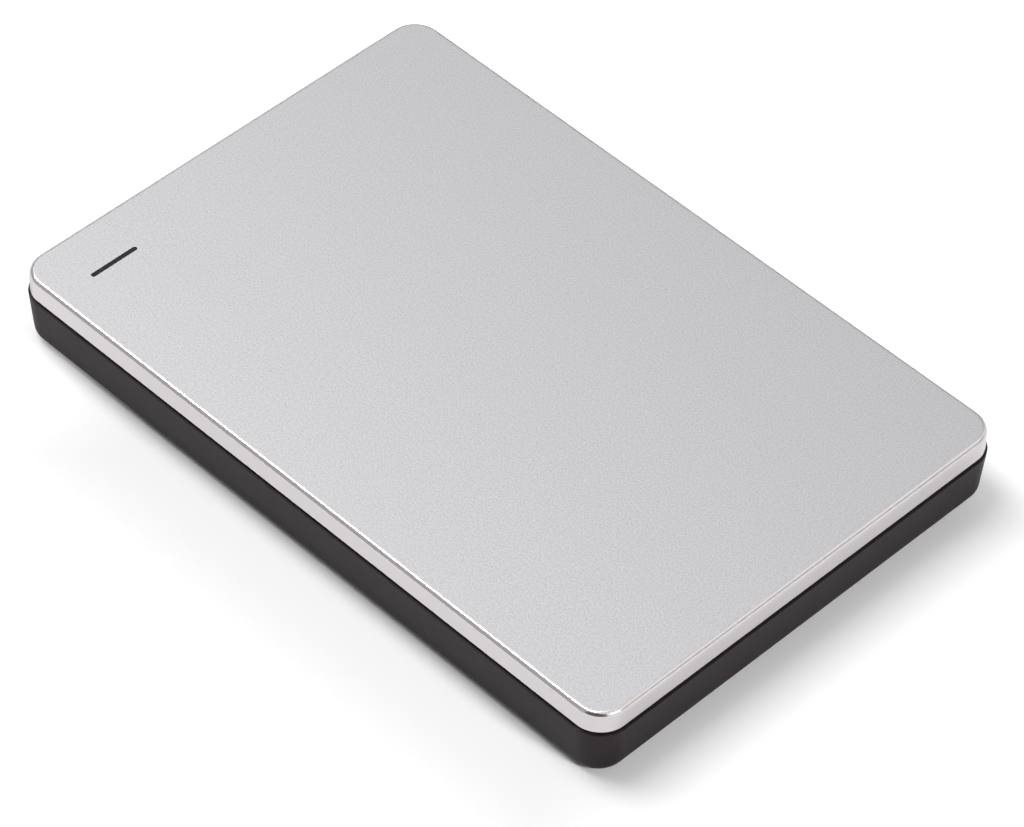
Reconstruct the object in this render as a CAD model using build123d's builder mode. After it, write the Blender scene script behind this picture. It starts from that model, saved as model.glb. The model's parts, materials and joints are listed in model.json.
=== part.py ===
"""Portable external hard drive: a slim two-piece case round a 2.5 inch disk drive and its USB bridge board.

Millimetres, +Z up. The origin is under the middle of the case, on the surface it lies on. The short end
with the USB port faces +Y. The sizes are stacked from the inside out, so the case follows the drive.
"""

import os
from math import acos, asin, atan2, cos, degrees, hypot, radians, sin, sqrt, tan

from build123d import *

os.makedirs("parts", exist_ok=True)

# Fits shared by all pieces
bond = 0.02                  # glued or pressed round fits, on the radius
running_fit = 0.03           # turning fits, on the radius
slip_fit = 0.15              # loose fits of plugs and boards

# Case
side_gap = 1.12              # drive to base wall, at the floor
back_gap = 0.985             # drive to base wall at the closed end
bridge_space = 7.855         # drive to base wall at the port end
lower_cushion = 1.2          # floor to drive
upper_cushion = 1.75         # drive to cover
base_wall = 1.5
base_floor = 1.3
base_draft = 4.6             # degrees
base_edge = 2.0              # rounding of the bottom edge
case_corner = 4.6            # plan radius at the rim
cover_sheet = 0.8
cover_depth = 3.5
cover_draft = 1.5            # degrees
cover_edge = 0.65            # rounding of the cover's top edge
rim_proud = 0.25             # the base's rim stands outside the cover
seam_gap = 0.3

# Clip frame and its hooks
clip_wall = 0.9
clip_fit = 0.04
clip_flange_inset = 0.35     # flange edge behind the cover's face
hook_width = 7.0
hook_thickness = 0.8
hook_length = 2.85
hook_barb = 0.35
hook_barb_height = 0.8
hook_side_y = (-30.0, -3.0, 24.0)
hook_back_x = (-18.0, 18.0)
hook_front_x = (0.0, 22.0)

# Light slot, pipe and indicator
slot_length = 8.2
slot_width = 0.75
slot_inset = 7.625           # slot centre inside the drive's side
slot_behind_drive = 1.3      # slot centre beyond the drive's front
pipe_recess = 0.15
pipe_slot_gap = 0.05
pipe_flange_margin = 1.0
pipe_flange_height = 0.8
pipe_stem_length = 2.2
pipe_stem_width = 1.0
led_length = 1.6
led_width = 0.8
led_height = 0.6
led_chamfer = 0.15
led_pipe_gap = 0.3

# Corner bumpers and foam pad
bumper_fit = 0.05
bumper_length = 14.0
bumper_lap = 6.0             # lap over the drive's faces
bumper_lip = 0.8             # lip above the drive
pad_side_margin = 12.925     # pad edges inside the drive's edges
pad_end_margin = 14.175

# Bridge board
board_gap = 0.3
bridge_inset = 3.425         # board edge inside the drive's side
bridge_thickness = 0.8
bridge_standoff = 0.4
rest_width = 2.4             # ribs that carry the board
rest_inset = 1.6
rest_from_front = 2.3
middle_rest = 20.0

# USB socket, with the wide lobe and the narrow lobe of its mouth
usb_from_edge = 9.0          # socket's middle from the board's edge
usb_depth = 6.5
usb_recess = 0.4             # mouth behind the base's face
usb_wide = 7.2
usb_narrow = 4.2
usb_neck = 0.9
usb_height = 2.9
usb_narrow_drop = 0.3        # the narrow lobe is lower
usb_neck_height = 1.5
usb_chamfer = 0.8
usb_narrow_chamfer = 0.5
usb_sheet = 0.3
usb_back_block = 1.6
usb_tongue = 0.6
usb_tongue_setback = 1.0
usb_tongue_margin = 0.7
usb_contacts_per_lobe = 5
usb_contact_width = 0.35
usb_contact_thickness = 0.12
port_clearance = 0.3

# Disk drive housing
disc_radius = 32.5
disc_bore = 10.0
disc_thickness = 0.635
bowl_gap = 0.9
bowl_side_wall = 1.525
bowl_back_wall = 1.55
drive_corner = 2.0
casting_skin = 1.0           # under the motor
bowl_skin = 0.7              # under the disc, above the drive board
pocket_skin = 0.5            # under the actuator, above the chips
pocket_side_wall = 3.2
pocket_turn = 36.0           # degrees, direction in which the pocket's edge meets the bowl
pocket_corner = 2.5
lid_thickness = 0.6
gasket_inset = 0.35
gasket_width = 0.8
gasket_height = 0.3
mount_hole_radius = 1.25
mount_hole_depth = 1.0
mount_hole_inset = 4.065     # hole centre from the drive's side
mount_holes_from_front = (14.0, 90.6)

# Screws, sizes of the head, the shank and the socket in the head
screw_head = 1.5
screw_head_height = 0.35
screw_shank = 0.8
screw_length = 1.8
screw_socket = 0.7
screw_socket_depth = 0.2
screw_clearance = 0.1
lid_screw_inset = 4.1
lid_screw_back = 3.6
lid_screw_front = 2.6
lid_screw_middle = 15.7      # middle pair beyond the disc's centre
middle_screw_inset = 3.4

# Spindle
shaft_radius = 1.5
sleeve_wall = 1.4
thrust_cap_height = 0.4
thrust_gap = 0.05
boss_wall = 1.5
stator_seat = 0.9            # shoulder under the stator
stator_reach = 9.35
stator_teeth = 9
stator_tooth_width = 1.4
stator_shoe_width = 3.6
stator_shoe_depth = 0.8
stator_ring = 1.3
coil_wall = 0.55
coil_clearance = 0.15
air_gap = 0.25
rotor_magnet_wall = 0.85
skirt_wall = 0.85
hub_web_drop = 0.8           # web underside below the disc
hub_flange = 2.2             # flange beyond the disc's bore
hub_below_disc_top = 0.085
hub_disc_fit = 0.05
motor_well_gap = 0.7
clamp_radius = 13.0
clamp_foot = 2.0
clamp_height = 0.4
clamp_lift = 0.065
clamp_screw_head = 2.4
clamp_screw_head_height = 0.5
clamp_screw_shank = 1.0
clamp_screw_length = 2.6
clamp_socket = 1.1
clamp_socket_depth = 0.3

# Actuator
pivot_x = 10.0
pivot_from_disc = 9.2        # pivot beyond the disc's rim, along the drive
head_short = 5.88            # head radius short of the pivot's distance
park_beyond_rim = 2.43
inner_track = 14.5
post_radius = 1.6
post_seat = 0.4
post_headroom = 0.3
cartridge_wall = 1.6
block_wall = 2.0
arm_length = 24.0
arm_root = 3.6               # half widths of the arm
arm_tip = 1.7
arm_thickness = 0.6
arm_hole = 1.2
arm_hole_from_tip = 5.5
arm_floor_gap = 0.25
beam_lap = 4.0
beam_root = 1.5              # half widths of the suspension
beam_tip = 0.5
beam_thickness = 0.2
tab_length = 1.7
tab_half_width = 0.25
slider_length = 1.2
slider_width = 0.9
slider_height = 0.25
fly_gap = 0.1
coil_start = 8.4
coil_end = 16.4
coil_start_half = 2.9
coil_end_half = 5.4
coil_band = 1.9
coil_corner = 1.0
coil_hole_corner = 0.4
coil_thickness = 0.7
fantail_half = 2.9

# Voice coil motor
motor_gap = 0.25
yoke_thickness = 0.5
magnet_thickness = 0.45
yoke_inner = 7.2
vcm_reach = 17.6
yoke_margin = 9.0            # degrees beyond the posts
magnet_inset = 0.6
magnet_margin = 17.0         # degrees beyond the coil's middle
post_circle = 14.0
yoke_post = 1.3
stop_wall = 0.6
stop_gap = 0.35
vcm_pocket_gap = 0.6
upper_room = 0.715           # above the upper arm

# Parking ramp and filter
ramp_inner = 1.3             # ramp begins beyond the head
ramp_width = 1.4
ramp_behind = 2.5            # degrees behind the parked head
ramp_over_disc = 0.8
ramp_tab_gap = 0.1
ramp_disc_gap = 0.3
ramp_foot_length = 5.0
ramp_foot_half = 2.0
ramp_foot_height = 1.2
ramp_foot_setback = 0.05
ramp_screw_out = 2.6
filter_length = 5.0
filter_width = 1.5
filter_height = 2.5
filter_turn = 40.6           # degrees, direction from the disc's centre
filter_beyond_rim = 4.4

# Flex cable from the actuator to its bracket
flex_thickness = 0.12
flex_height = 1.4
flex_gap = 0.05
flex_turn = 95.0             # degrees from the arm to the cable's start
flex_bulge = 2.5
bracket_length = 7.0
bracket_width = 3.0
bracket_height = 3.0
bracket_turn = 50.9          # degrees, direction from the disc's centre
bracket_beyond_rim = 5.55

# Drive board
drive_board_inset = 7.425    # board edge inside the drive's side
drive_board_thickness = 0.6
drive_board_side_gap = 0.3
drive_board_back = 17.0      # board edge beyond the disc's centre
board_screw_head_height = 0.45
board_screw_sink = 0.05      # heads above the drive's underside
board_screw_length = 0.9
board_screw_inset = 2.6
board_screw_wall = 0.35      # casting between the screws and the bowl
chip_height = 0.7
chip_gap = 0.1
chip_pocket_inset = 3.5      # from the board's edge
chip_pocket_width = 28.0
chip_pocket_back = 1.5       # beyond the bowl's edge
chip_pocket_front = 1.2      # short of the pocket's front
controller_size = 9.0
memory_length = 8.0
memory_width = 5.0
driver_size = 6.0
chip_margin = 2.0

# SATA plug and socket
plug_inset = 28.925          # plug's middle inside the drive's side
plug_width = 42.0
plug_space = 5.5             # actuator pocket to the drive's front
plug_wall = 0.75             # casting between the pocket and the plug
plug_body = 1.5
plug_height = 3.0
tongue_thickness = 0.6
tongue_key = 1.1
tongue_key_drop = 0.75
signal_start = -19.5         # from the plug's middle
signal_width = 10.6
signal_contacts = 7
power_start = -3.5
power_width = 20.8
power_contacts = 15
contact_pitch = 1.27
contact_width = 0.6
contact_thickness = 0.08
contact_end = 0.4
socket_body = 2.5            # beyond the drive's front
socket_side_gap = 0.6
socket_groove = 0.25
socket_spring = 0.15
socket_spring_reach = 1.2

# Chips on the bridge board
bridge_chip_size = 3.6
bridge_chip_height = 0.8
bridge_memory_width = 3.0
bridge_memory_depth = 2.4
crystal_width = 2.5
crystal_depth = 2.0
crystal_height = 0.6
inductor_size = 2.6
inductor_height = 1.2
inductor_chamfer = 0.4
bridge_chips_x = (-10.0, -4.0, 1.5, 7.0)

# Heights of the drive, from its underside up
drive_bottom = base_floor + lower_cushion
drive_board_bottom = drive_bottom + board_screw_sink + board_screw_head_height
drive_board_top = drive_board_bottom + drive_board_thickness
recess_ceiling = drive_board_top + chip_gap
chip_ceiling = drive_board_top + chip_height + 2 * chip_gap
bowl_floor = recess_ceiling + bowl_skin
pocket_floor = chip_ceiling + pocket_skin
lower_arm = pocket_floor + arm_floor_gap
lower_beam = lower_arm + arm_thickness
lower_slider = lower_beam + beam_thickness
disc_bottom = lower_slider + slider_height + fly_gap
disc_top = disc_bottom + disc_thickness
upper_slider = disc_top + fly_gap
upper_beam = upper_slider + slider_height
upper_arm = upper_beam + beam_thickness
arms_top = upper_arm + arm_thickness
casting_top = arms_top + upper_room
drive_top = casting_top + lid_thickness

# Overall heights of the case
cover_under = drive_top + upper_cushion
case_height = cover_under + cover_sheet
cover_bottom = case_height - cover_depth
rim_height = cover_bottom - seam_gap
base_lean = tan(radians(base_draft))
cover_lean = tan(radians(cover_draft))
base_inset = (rim_height - base_floor) * base_lean

# Plan of the drive and the case
bowl_radius = disc_radius + bowl_gap
drive_width = 2 * (bowl_radius + bowl_side_wall)
pivot_rise = disc_radius + pivot_from_disc
front_reach = pivot_rise + vcm_reach + vcm_pocket_gap + plug_space
drive_length = bowl_back_wall + bowl_radius + front_reach
case_width = drive_width + 2 * (side_gap + base_inset + base_wall)
case_length = drive_length + back_gap + bridge_space + 2 * (base_inset + base_wall)
cavity_half_width = drive_width / 2 + side_gap
cavity_half_length = (drive_length + back_gap + bridge_space) / 2
cavity_corner = case_corner - base_wall - base_inset
drive_back = back_gap - cavity_half_length
drive_front = drive_back + drive_length
drive_middle = (drive_back + drive_front) / 2
disc_y = drive_back + bowl_back_wall + bowl_radius
pivot_y = disc_y + pivot_rise
pocket_front = pivot_y + vcm_reach + vcm_pocket_gap
recess_back = disc_y + drive_board_back
slot_x = slot_inset - drive_width / 2
slot_y = drive_front + slot_behind_drive
plug_x = drive_width / 2 - plug_inset
drive_board_half = drive_width / 2 - drive_board_inset

# Cover outline, at its lower edge and inside at its top
cover_width = case_width - 2 * rim_proud
cover_length = case_length - 2 * rim_proud
cover_corner = case_corner - rim_proud
cover_lean_in = cover_sheet + (cover_depth - cover_sheet) * cover_lean

# Bridge board: its width, heights and edges, and the socket on it
bridge_width = drive_width - 2 * bridge_inset
usb_x = usb_from_edge - bridge_width / 2
bridge_bottom = base_floor + bridge_standoff
bridge_top = bridge_bottom + bridge_thickness
bridge_back = drive_front + board_gap
bridge_front = cavity_half_length - board_gap

# Directions of the actuator, in degrees from +X, at the parked place and over the innermost track
pivot_distance = hypot(pivot_x, pivot_rise)
head_radius = pivot_distance - head_short
disc_direction = degrees(atan2(-pivot_rise, -pivot_x)) % 360


def head_direction(track: float, radius: float) -> float:
    """Give the direction from the pivot in which a point at this radius lies over a track of the disc."""
    share = (pivot_distance**2 + radius**2 - track**2) / (2 * pivot_distance * radius)
    return disc_direction - degrees(acos(share))


parked = head_direction(disc_radius + park_beyond_rim, head_radius)
swing = head_direction(inner_track, head_radius) - parked
coil_parked = parked - 180


def level(height: float) -> Plane:
    """Give the horizontal plane at this height."""
    return Plane.XY.offset(height)


def spindle_plane(height: float) -> Plane:
    """Give the horizontal plane at this height with its origin on the spindle's axis."""
    return Plane(origin=(0, disc_y, height))


def arm_plane(height: float, direction: float = parked) -> Plane:
    """Give the horizontal plane on the pivot's axis whose x axis points in this direction."""
    ahead = (cos(radians(direction)), sin(radians(direction)), 0)
    return Plane(origin=(pivot_x, pivot_y, height), x_dir=ahead)


def port_plane(y: float) -> Plane:
    """Give the upright plane that faces +Y on the USB socket's middle, on the bridge board's top."""
    return Plane(origin=(usb_x, y, bridge_top), x_dir=(-1, 0, 0), z_dir=(0, 1, 0))


def save(piece: Part, name: str) -> None:
    """Label a finished piece and write it."""
    piece.label = name
    export_step(piece, f"parts/{name}.step")


def block(name: str, x: float, y: float, z: float, size: tuple, edge: float = 0.0) -> None:
    """Make a small boxed component that stands on height z at x, y, with its upper edges broken."""
    with BuildPart() as component:
        with BuildSketch(level(z)):
            with Locations((x, y)):
                Rectangle(size[0], size[1])
        extrude(amount=size[2])
        if edge:
            chamfer(component.faces().sort_by(Axis.Z)[-1].edges(), edge)
    save(component.part, name)


def screws(name: str, places: list, seat: float, up: int, sizes: tuple, socket: tuple) -> None:
    """Make a set of like screws whose heads stand on a seat, above it (up = 1) or below it (up = -1)."""
    head, head_height, shank, length = sizes
    with BuildPart() as group:
        with BuildSketch(level(seat)):
            with Locations(*places):
                Circle(head)
        extrude(amount=up * head_height)
        with BuildSketch(level(seat)):
            with Locations(*places):
                Circle(shank)
        extrude(amount=-up * length)
        with BuildSketch(level(seat + up * head_height)):
            with Locations(*places):
                RegularPolygon(radius=socket[0], side_count=6)
        extrude(amount=-up * socket[1], mode=Mode.SUBTRACT)
    save(group.part, name)


def sector(inner: float, outer: float, start: float, end: float) -> None:
    """Draw an annular sector between two directions, in degrees, in the open sketch."""
    with BuildLine() as outline:
        CenterArc((0, 0), outer, start, end - start)
        CenterArc((0, 0), inner, start, end - start)
        for turn in (radians(start), radians(end)):
            Line((inner * cos(turn), inner * sin(turn)), (outer * cos(turn), outer * sin(turn)))
    make_face(outline.edges())


def taper_strip(start: float, start_half: float, end: float, end_half: float) -> None:
    """Draw a strip along x that narrows or widens evenly, in the open sketch."""
    Polygon(
        (start, -start_half), (end, -end_half), (end, end_half), (start, start_half), align=None
    )


def port_outline(grow: float = 0.0) -> None:
    """Draw the USB mouth in the open sketch: a wide lobe, a narrow lobe and the neck between them."""
    total = usb_wide + usb_neck + usb_narrow
    wide_end = usb_wide - total / 2
    narrow_start = wide_end + usb_neck
    narrow_top = usb_height - usb_narrow_drop
    Polygon(
        (-total / 2 + usb_chamfer, 0),
        (wide_end - usb_chamfer, 0),
        (wide_end, usb_chamfer),
        (wide_end, usb_height),
        (-total / 2, usb_height),
        (-total / 2, usb_chamfer),
        align=None,
    )
    Polygon(
        (narrow_start + usb_narrow_chamfer, 0),
        (total / 2 - usb_narrow_chamfer, 0),
        (total / 2, usb_narrow_chamfer),
        (total / 2, narrow_top),
        (narrow_start, narrow_top),
        (narrow_start, usb_narrow_chamfer),
        align=None,
    )
    with Locations((wide_end + usb_neck / 2, narrow_top - usb_neck_height / 2)):
        Rectangle(2 * usb_neck, usb_neck_height)
    if grow:
        offset(amount=grow, kind=Kind.INTERSECTION)


def contact_row(start: float, width: float, count: int) -> list:
    """Give the places along x of a row of contacts centred on a tongue."""
    middle = plug_x + start + width / 2
    return [middle + contact_pitch * (n - (count - 1) / 2) for n in range(count)]


sata_rows = contact_row(signal_start, signal_width, signal_contacts)
sata_rows += contact_row(power_start, power_width, power_contacts)

# Places of the clip hooks: x, y and the direction they face
hook_base = rim_height - hook_length
hook_wall_inset = base_wall + (rim_height - hook_base) * base_lean + slip_fit
hook_x = case_width / 2 - hook_wall_inset
hook_y = case_length / 2 - hook_wall_inset
hooks = [(side * hook_x, y, 90 - 90 * side) for side in (-1, 1) for y in hook_side_y]
hooks += [(x, -hook_y, 270) for x in hook_back_x]
hooks += [(x, hook_y, 90) for x in hook_front_x]


def hook_plane(hook: tuple, height: float) -> Plane:
    """Give the plane at a hook's outer face whose x axis points out through the base's wall."""
    x, y, facing = hook
    outward = (cos(radians(facing)), sin(radians(facing)), 0)
    return Plane(origin=(x, y, height), x_dir=outward)


# Base shell: drafted tray with a rounded bottom edge, hook recesses, ribs under the board and the port
usb_front = case_length / 2 - (rim_height - bridge_top - usb_height / 2) * base_lean - usb_recess
usb_back = usb_front - usb_depth
rest_x = bridge_width / 2 - rest_inset
rest_y = bridge_front - rest_from_front

with BuildPart() as base_shell:
    with BuildSketch(level(rim_height)):
        RectangleRounded(case_width, case_length, case_corner)
    extrude(amount=-rim_height, taper=base_draft)
    fillet(base_shell.faces().sort_by(Axis.Z)[0].edges(), base_edge)
    with BuildSketch(level(rim_height)):
        RectangleRounded(case_width - 2 * base_wall, case_length - 2 * base_wall, case_corner - base_wall)
    extrude(amount=-(rim_height - base_floor), taper=base_draft, mode=Mode.SUBTRACT)
    with BuildSketch(level(base_floor)):
        with Locations((-rest_x, rest_y), (rest_x, rest_y)):
            Rectangle(rest_width, rest_width)
        with Locations((0, rest_y)):
            Rectangle(middle_rest, rest_width)
    extrude(amount=bridge_standoff)
    for hook in hooks:
        with BuildSketch(hook_plane(hook, hook_base - slip_fit)):
            Rectangle(2 * (hook_barb + slip_fit), hook_width + 2 * slip_fit)
        extrude(amount=hook_barb_height + 2 * slip_fit, mode=Mode.SUBTRACT)
    with BuildSketch(port_plane(usb_back)):
        port_outline(port_clearance)
    extrude(amount=usb_depth + usb_recess + base_wall, mode=Mode.SUBTRACT)
save(base_shell.part, "base_shell")

# Top cover: drawn aluminium tray with a rounded edge and the light slot
with BuildPart() as top_cover:
    with BuildSketch(level(cover_bottom)):
        RectangleRounded(cover_width, cover_length, cover_corner)
    extrude(amount=cover_depth, taper=cover_draft)
    fillet(top_cover.faces().sort_by(Axis.Z)[-1].edges(), cover_edge)
    with BuildSketch(level(cover_bottom)):
        RectangleRounded(
            cover_width - 2 * cover_sheet, cover_length - 2 * cover_sheet, cover_corner - cover_sheet
        )
    extrude(amount=cover_depth - cover_sheet, taper=cover_draft, mode=Mode.SUBTRACT)
    with BuildSketch(level(cover_under)):
        with Locations((slot_x, slot_y)):
            SlotOverall(slot_length, slot_width)
    extrude(amount=cover_sheet, mode=Mode.SUBTRACT)
save(top_cover.part, "top_cover")

# Clip frame: ring bonded inside the cover, with a flange in the seam and hooks that enter the base
frame_width = cover_width - 2 * (cover_lean_in + clip_fit)
frame_length = cover_length - 2 * (cover_lean_in + clip_fit)
frame_corner = cover_corner - cover_lean_in - clip_fit

with BuildPart() as clip_frame:
    with BuildSketch(level(rim_height)):
        RectangleRounded(frame_width, frame_length, frame_corner)
    extrude(amount=cover_under - clip_fit - rim_height)
    with BuildSketch(level(rim_height)):
        RectangleRounded(
            cover_width - 2 * clip_flange_inset,
            cover_length - 2 * clip_flange_inset,
            cover_corner - clip_flange_inset,
        )
    extrude(amount=seam_gap)
    with BuildSketch(level(rim_height)):
        RectangleRounded(frame_width - 2 * clip_wall, frame_length - 2 * clip_wall, frame_corner - clip_wall)
    extrude(amount=cover_under - rim_height, mode=Mode.SUBTRACT)
    for hook in hooks:
        with BuildSketch(hook_plane(hook, hook_base)):
            with Locations((-hook_thickness / 2, 0)):
                Rectangle(hook_thickness, hook_width)
        extrude(amount=hook_length + seam_gap)
        with BuildSketch(hook_plane(hook, hook_base)):
            Rectangle(2 * hook_barb, hook_width)
        extrude(amount=hook_barb_height)
save(clip_frame.part, "clip_frame")

# Light pipe: lens in the slot, flange under the cover and a stem down to the indicator
pipe_bottom = bridge_top + led_height + led_pipe_gap

with BuildPart() as light_pipe:
    with BuildSketch(Plane(origin=(slot_x, slot_y, cover_under - pipe_flange_height))):
        SlotOverall(slot_length + 2 * pipe_flange_margin, slot_width + 2 * pipe_flange_margin)
    extrude(amount=pipe_flange_height)
    with BuildSketch(Plane(origin=(slot_x, slot_y, cover_under))):
        SlotOverall(slot_length - 2 * pipe_slot_gap, slot_width - 2 * pipe_slot_gap)
    extrude(amount=cover_sheet - pipe_recess)
    with BuildSketch(Plane(origin=(slot_x, slot_y, pipe_bottom))):
        SlotOverall(pipe_stem_length, pipe_stem_width)
    extrude(amount=cover_under - pipe_flange_height - pipe_bottom)
save(light_pipe.part, "light_pipe")

block("indicator_led", slot_x, slot_y, bridge_top, (led_length, led_width, led_height), led_chamfer)

# Foam pad between the drive and the cover
with BuildPart() as foam_pad:
    with BuildSketch(level(drive_top)):
        with Locations((0, drive_middle)):
            Rectangle(drive_width - 2 * pad_side_margin, drive_length - 2 * pad_end_margin)
    extrude(amount=upper_cushion)
save(foam_pad.part, "foam_pad")


def corner_bumper(name: str, side: int, end: int) -> None:
    """Make the rubber bumper of one corner of the drive; those at the closed end also wrap that end."""
    corner_y = drive_back if end < 0 else drive_front
    outer_y = -cavity_half_length + bumper_fit if end < 0 else drive_front
    middle_y = (outer_y + corner_y - end * bumper_length) / 2
    with BuildPart() as bumper:
        with BuildSketch(level(base_floor)):
            RectangleRounded(
                2 * (cavity_half_width - bumper_fit),
                2 * (cavity_half_length - bumper_fit),
                cavity_corner - bumper_fit,
            )
            with Locations((side * (cavity_half_width + drive_width / 2 - bumper_lap) / 2, middle_y)):
                Rectangle(
                    cavity_half_width - drive_width / 2 + bumper_lap,
                    abs(outer_y - corner_y + end * bumper_length),
                    mode=Mode.INTERSECT,
                )
        extrude(amount=drive_top + bumper_lip - base_floor)
        with BuildSketch(level(drive_bottom)):
            with Locations((0, drive_middle)):
                RectangleRounded(drive_width, drive_length, drive_corner)
        extrude(amount=drive_top - drive_bottom, mode=Mode.SUBTRACT)
    save(bumper.part, name)


corner_bumper("back_left_bumper", -1, -1)
corner_bumper("back_right_bumper", 1, -1)
corner_bumper("front_left_bumper", -1, 1)
corner_bumper("front_right_bumper", 1, 1)

# Bridge board and its chips
bridge_depth = bridge_front - bridge_back

with BuildPart() as bridge_board:
    with BuildSketch(level(bridge_bottom)):
        with Locations((0, (bridge_front + bridge_back) / 2)):
            Rectangle(bridge_width, bridge_depth)
    extrude(amount=bridge_thickness)
save(bridge_board.part, "bridge_board")

chip_row = (drive_front + socket_body + bridge_front) / 2
bridge_chips = (
    ("bridge_controller", (bridge_chip_size, bridge_chip_size, bridge_chip_height), 0.0),
    ("bridge_memory", (bridge_memory_width, bridge_memory_depth, bridge_chip_height), 0.0),
    ("bridge_crystal", (crystal_width, crystal_depth, crystal_height), 0.0),
    ("bridge_inductor", (inductor_size, inductor_size, inductor_height), inductor_chamfer),
)
for (name, size, edge), x in zip(bridge_chips, bridge_chips_x):
    block(name, x, chip_row, bridge_top, size, edge)

# USB socket: folded steel shell, insulator with two tongues, contacts under the tongues
usb_total = usb_wide + usb_neck + usb_narrow
usb_lobes = (
    (-usb_total / 2 + usb_wide / 2, usb_wide),
    (usb_total / 2 - usb_narrow / 2, usb_narrow),
)
tongue_height = (usb_height - usb_narrow_drop) / 2
tongue_reach = usb_depth - usb_tongue_setback

with BuildPart() as usb_shell:
    with BuildSketch(port_plane(usb_back)):
        port_outline()
    extrude(amount=usb_depth)
    with BuildSketch(port_plane(usb_back)):
        port_outline(-usb_sheet)
    extrude(amount=usb_depth, mode=Mode.SUBTRACT)
save(usb_shell.part, "usb_shell")

with BuildPart() as usb_insulator:
    with BuildSketch(port_plane(usb_back)):
        port_outline(-usb_sheet - bond)
    extrude(amount=usb_back_block)
    with BuildSketch(port_plane(usb_back)):
        for middle, width in usb_lobes:
            with Locations((middle, tongue_height + usb_tongue / 2)):
                Rectangle(width - 2 * (usb_sheet + usb_tongue_margin), usb_tongue)
    extrude(amount=tongue_reach)
save(usb_insulator.part, "usb_insulator")

with BuildPart() as usb_contacts:
    with BuildSketch(port_plane(usb_back + usb_back_block)):
        for middle, width in usb_lobes:
            pitch = (width - 2 * (usb_sheet + usb_tongue_margin)) / usb_contacts_per_lobe
            with Locations((middle, tongue_height - usb_contact_thickness / 2)):
                with GridLocations(pitch, 0, usb_contacts_per_lobe, 1):
                    Rectangle(usb_contact_width, usb_contact_thickness)
    extrude(amount=tongue_reach - usb_back_block - usb_contact_width)
save(usb_contacts.part, "usb_contacts")

# SATA plug on the drive: a bar with two L-shaped tongues
plug_back = pocket_front + plug_wall
plug_bottom = drive_board_top
plug_top = plug_bottom + plug_height
plug_face = plug_back + plug_body
tongue_bottom = plug_bottom + plug_height / 2
tongue_top = tongue_bottom + tongue_thickness
tongues = ((signal_start, signal_width), (power_start, power_width))


def tongue_outline(grow: float) -> None:
    """Draw the two L-shaped tongues, grown by a clearance, in the open sketch that faces +Y."""
    for start, width in tongues:
        near = -(start + width)
        far = -start
        Polygon(
            (near - grow, tongue_bottom - grow),
            (far - tongue_key - grow, tongue_bottom - grow),
            (far - tongue_key - grow, tongue_bottom - tongue_key_drop - grow),
            (far + grow, tongue_bottom - tongue_key_drop - grow),
            (far + grow, tongue_top + grow),
            (near - grow, tongue_top + grow),
            align=None,
        )


def plug_plane(y: float) -> Plane:
    """Give the upright plane that faces +Y on the plug's middle, at height zero."""
    return Plane(origin=(plug_x, y, 0), x_dir=(-1, 0, 0), z_dir=(0, 1, 0))


with BuildPart() as sata_plug:
    with BuildSketch(level(plug_bottom)):
        with Locations((plug_x, (plug_back + plug_face) / 2)):
            Rectangle(plug_width, plug_body)
    extrude(amount=plug_height)
    with BuildSketch(plug_plane(plug_face)):
        tongue_outline(0)
    extrude(amount=drive_front - plug_face)
save(sata_plug.part, "sata_plug")

with BuildPart() as sata_plug_contacts:
    with BuildSketch(level(tongue_top)):
        with Locations(*[(x, (plug_face + drive_front - contact_end) / 2) for x in sata_rows]):
            Rectangle(contact_width, drive_front - contact_end - plug_face)
    extrude(amount=contact_thickness)
save(sata_plug_contacts.part, "sata_plug_contacts")

# SATA socket on the bridge board: its nose enters the drive's end and takes the tongues
nose_end = plug_face + slip_fit
nose_bottom = plug_bottom + slip_fit
socket_front = drive_front + socket_body
socket_width = plug_width - 2 * socket_side_gap
groove_floor = tongue_top + slip_fit
groove_end = drive_front + socket_spring_reach

with BuildPart() as sata_socket:
    with BuildSketch(level(nose_bottom)):
        with Locations((plug_x, (nose_end + socket_front) / 2)):
            Rectangle(socket_width, socket_front - nose_end)
    extrude(amount=plug_top - nose_bottom)
    with BuildSketch(level(bridge_top)):
        with Locations((plug_x, (bridge_back + socket_front) / 2)):
            Rectangle(socket_width, socket_front - bridge_back)
    extrude(amount=nose_bottom - bridge_top)
    with BuildSketch(plug_plane(nose_end)):
        tongue_outline(slip_fit)
    extrude(amount=drive_front + slip_fit - nose_end, mode=Mode.SUBTRACT)
    with BuildSketch(level(groove_floor)):
        with Locations(*[(x, (nose_end + groove_end) / 2) for x in sata_rows]):
            Rectangle(contact_width + 2 * bond, groove_end - nose_end)
    extrude(amount=socket_groove, mode=Mode.SUBTRACT)
save(sata_socket.part, "sata_socket")

with BuildPart() as sata_socket_contacts:
    with BuildSketch(level(groove_floor + socket_groove)):
        with Locations(*[(x, (nose_end + contact_end + groove_end) / 2) for x in sata_rows]):
            Rectangle(contact_width, groove_end - nose_end - contact_end)
    extrude(amount=-socket_spring)
save(sata_socket_contacts.part, "sata_socket_contacts")

# Spindle levels and radii
motor_floor = drive_bottom + casting_skin
sleeve_radius = shaft_radius + running_fit + sleeve_wall
boss_radius = sleeve_radius + bond + boss_wall
hub_under = disc_bottom - hub_web_drop
coil_top = hub_under - air_gap
coil_bottom = motor_floor + coil_clearance
stator_bottom = coil_bottom + coil_wall
stator_top = coil_top - coil_wall
magnet_inner = stator_reach + air_gap
magnet_outer = magnet_inner + rotor_magnet_wall
skirt_inner = magnet_outer + bond
skirt_outer = skirt_inner + skirt_wall
skirt_bottom = motor_floor + air_gap
hub_radius = disc_bore - hub_disc_fit
hub_top = disc_top - hub_below_disc_top
flange_radius = disc_bore + hub_flange
motor_well = skirt_outer + motor_well_gap

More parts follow.
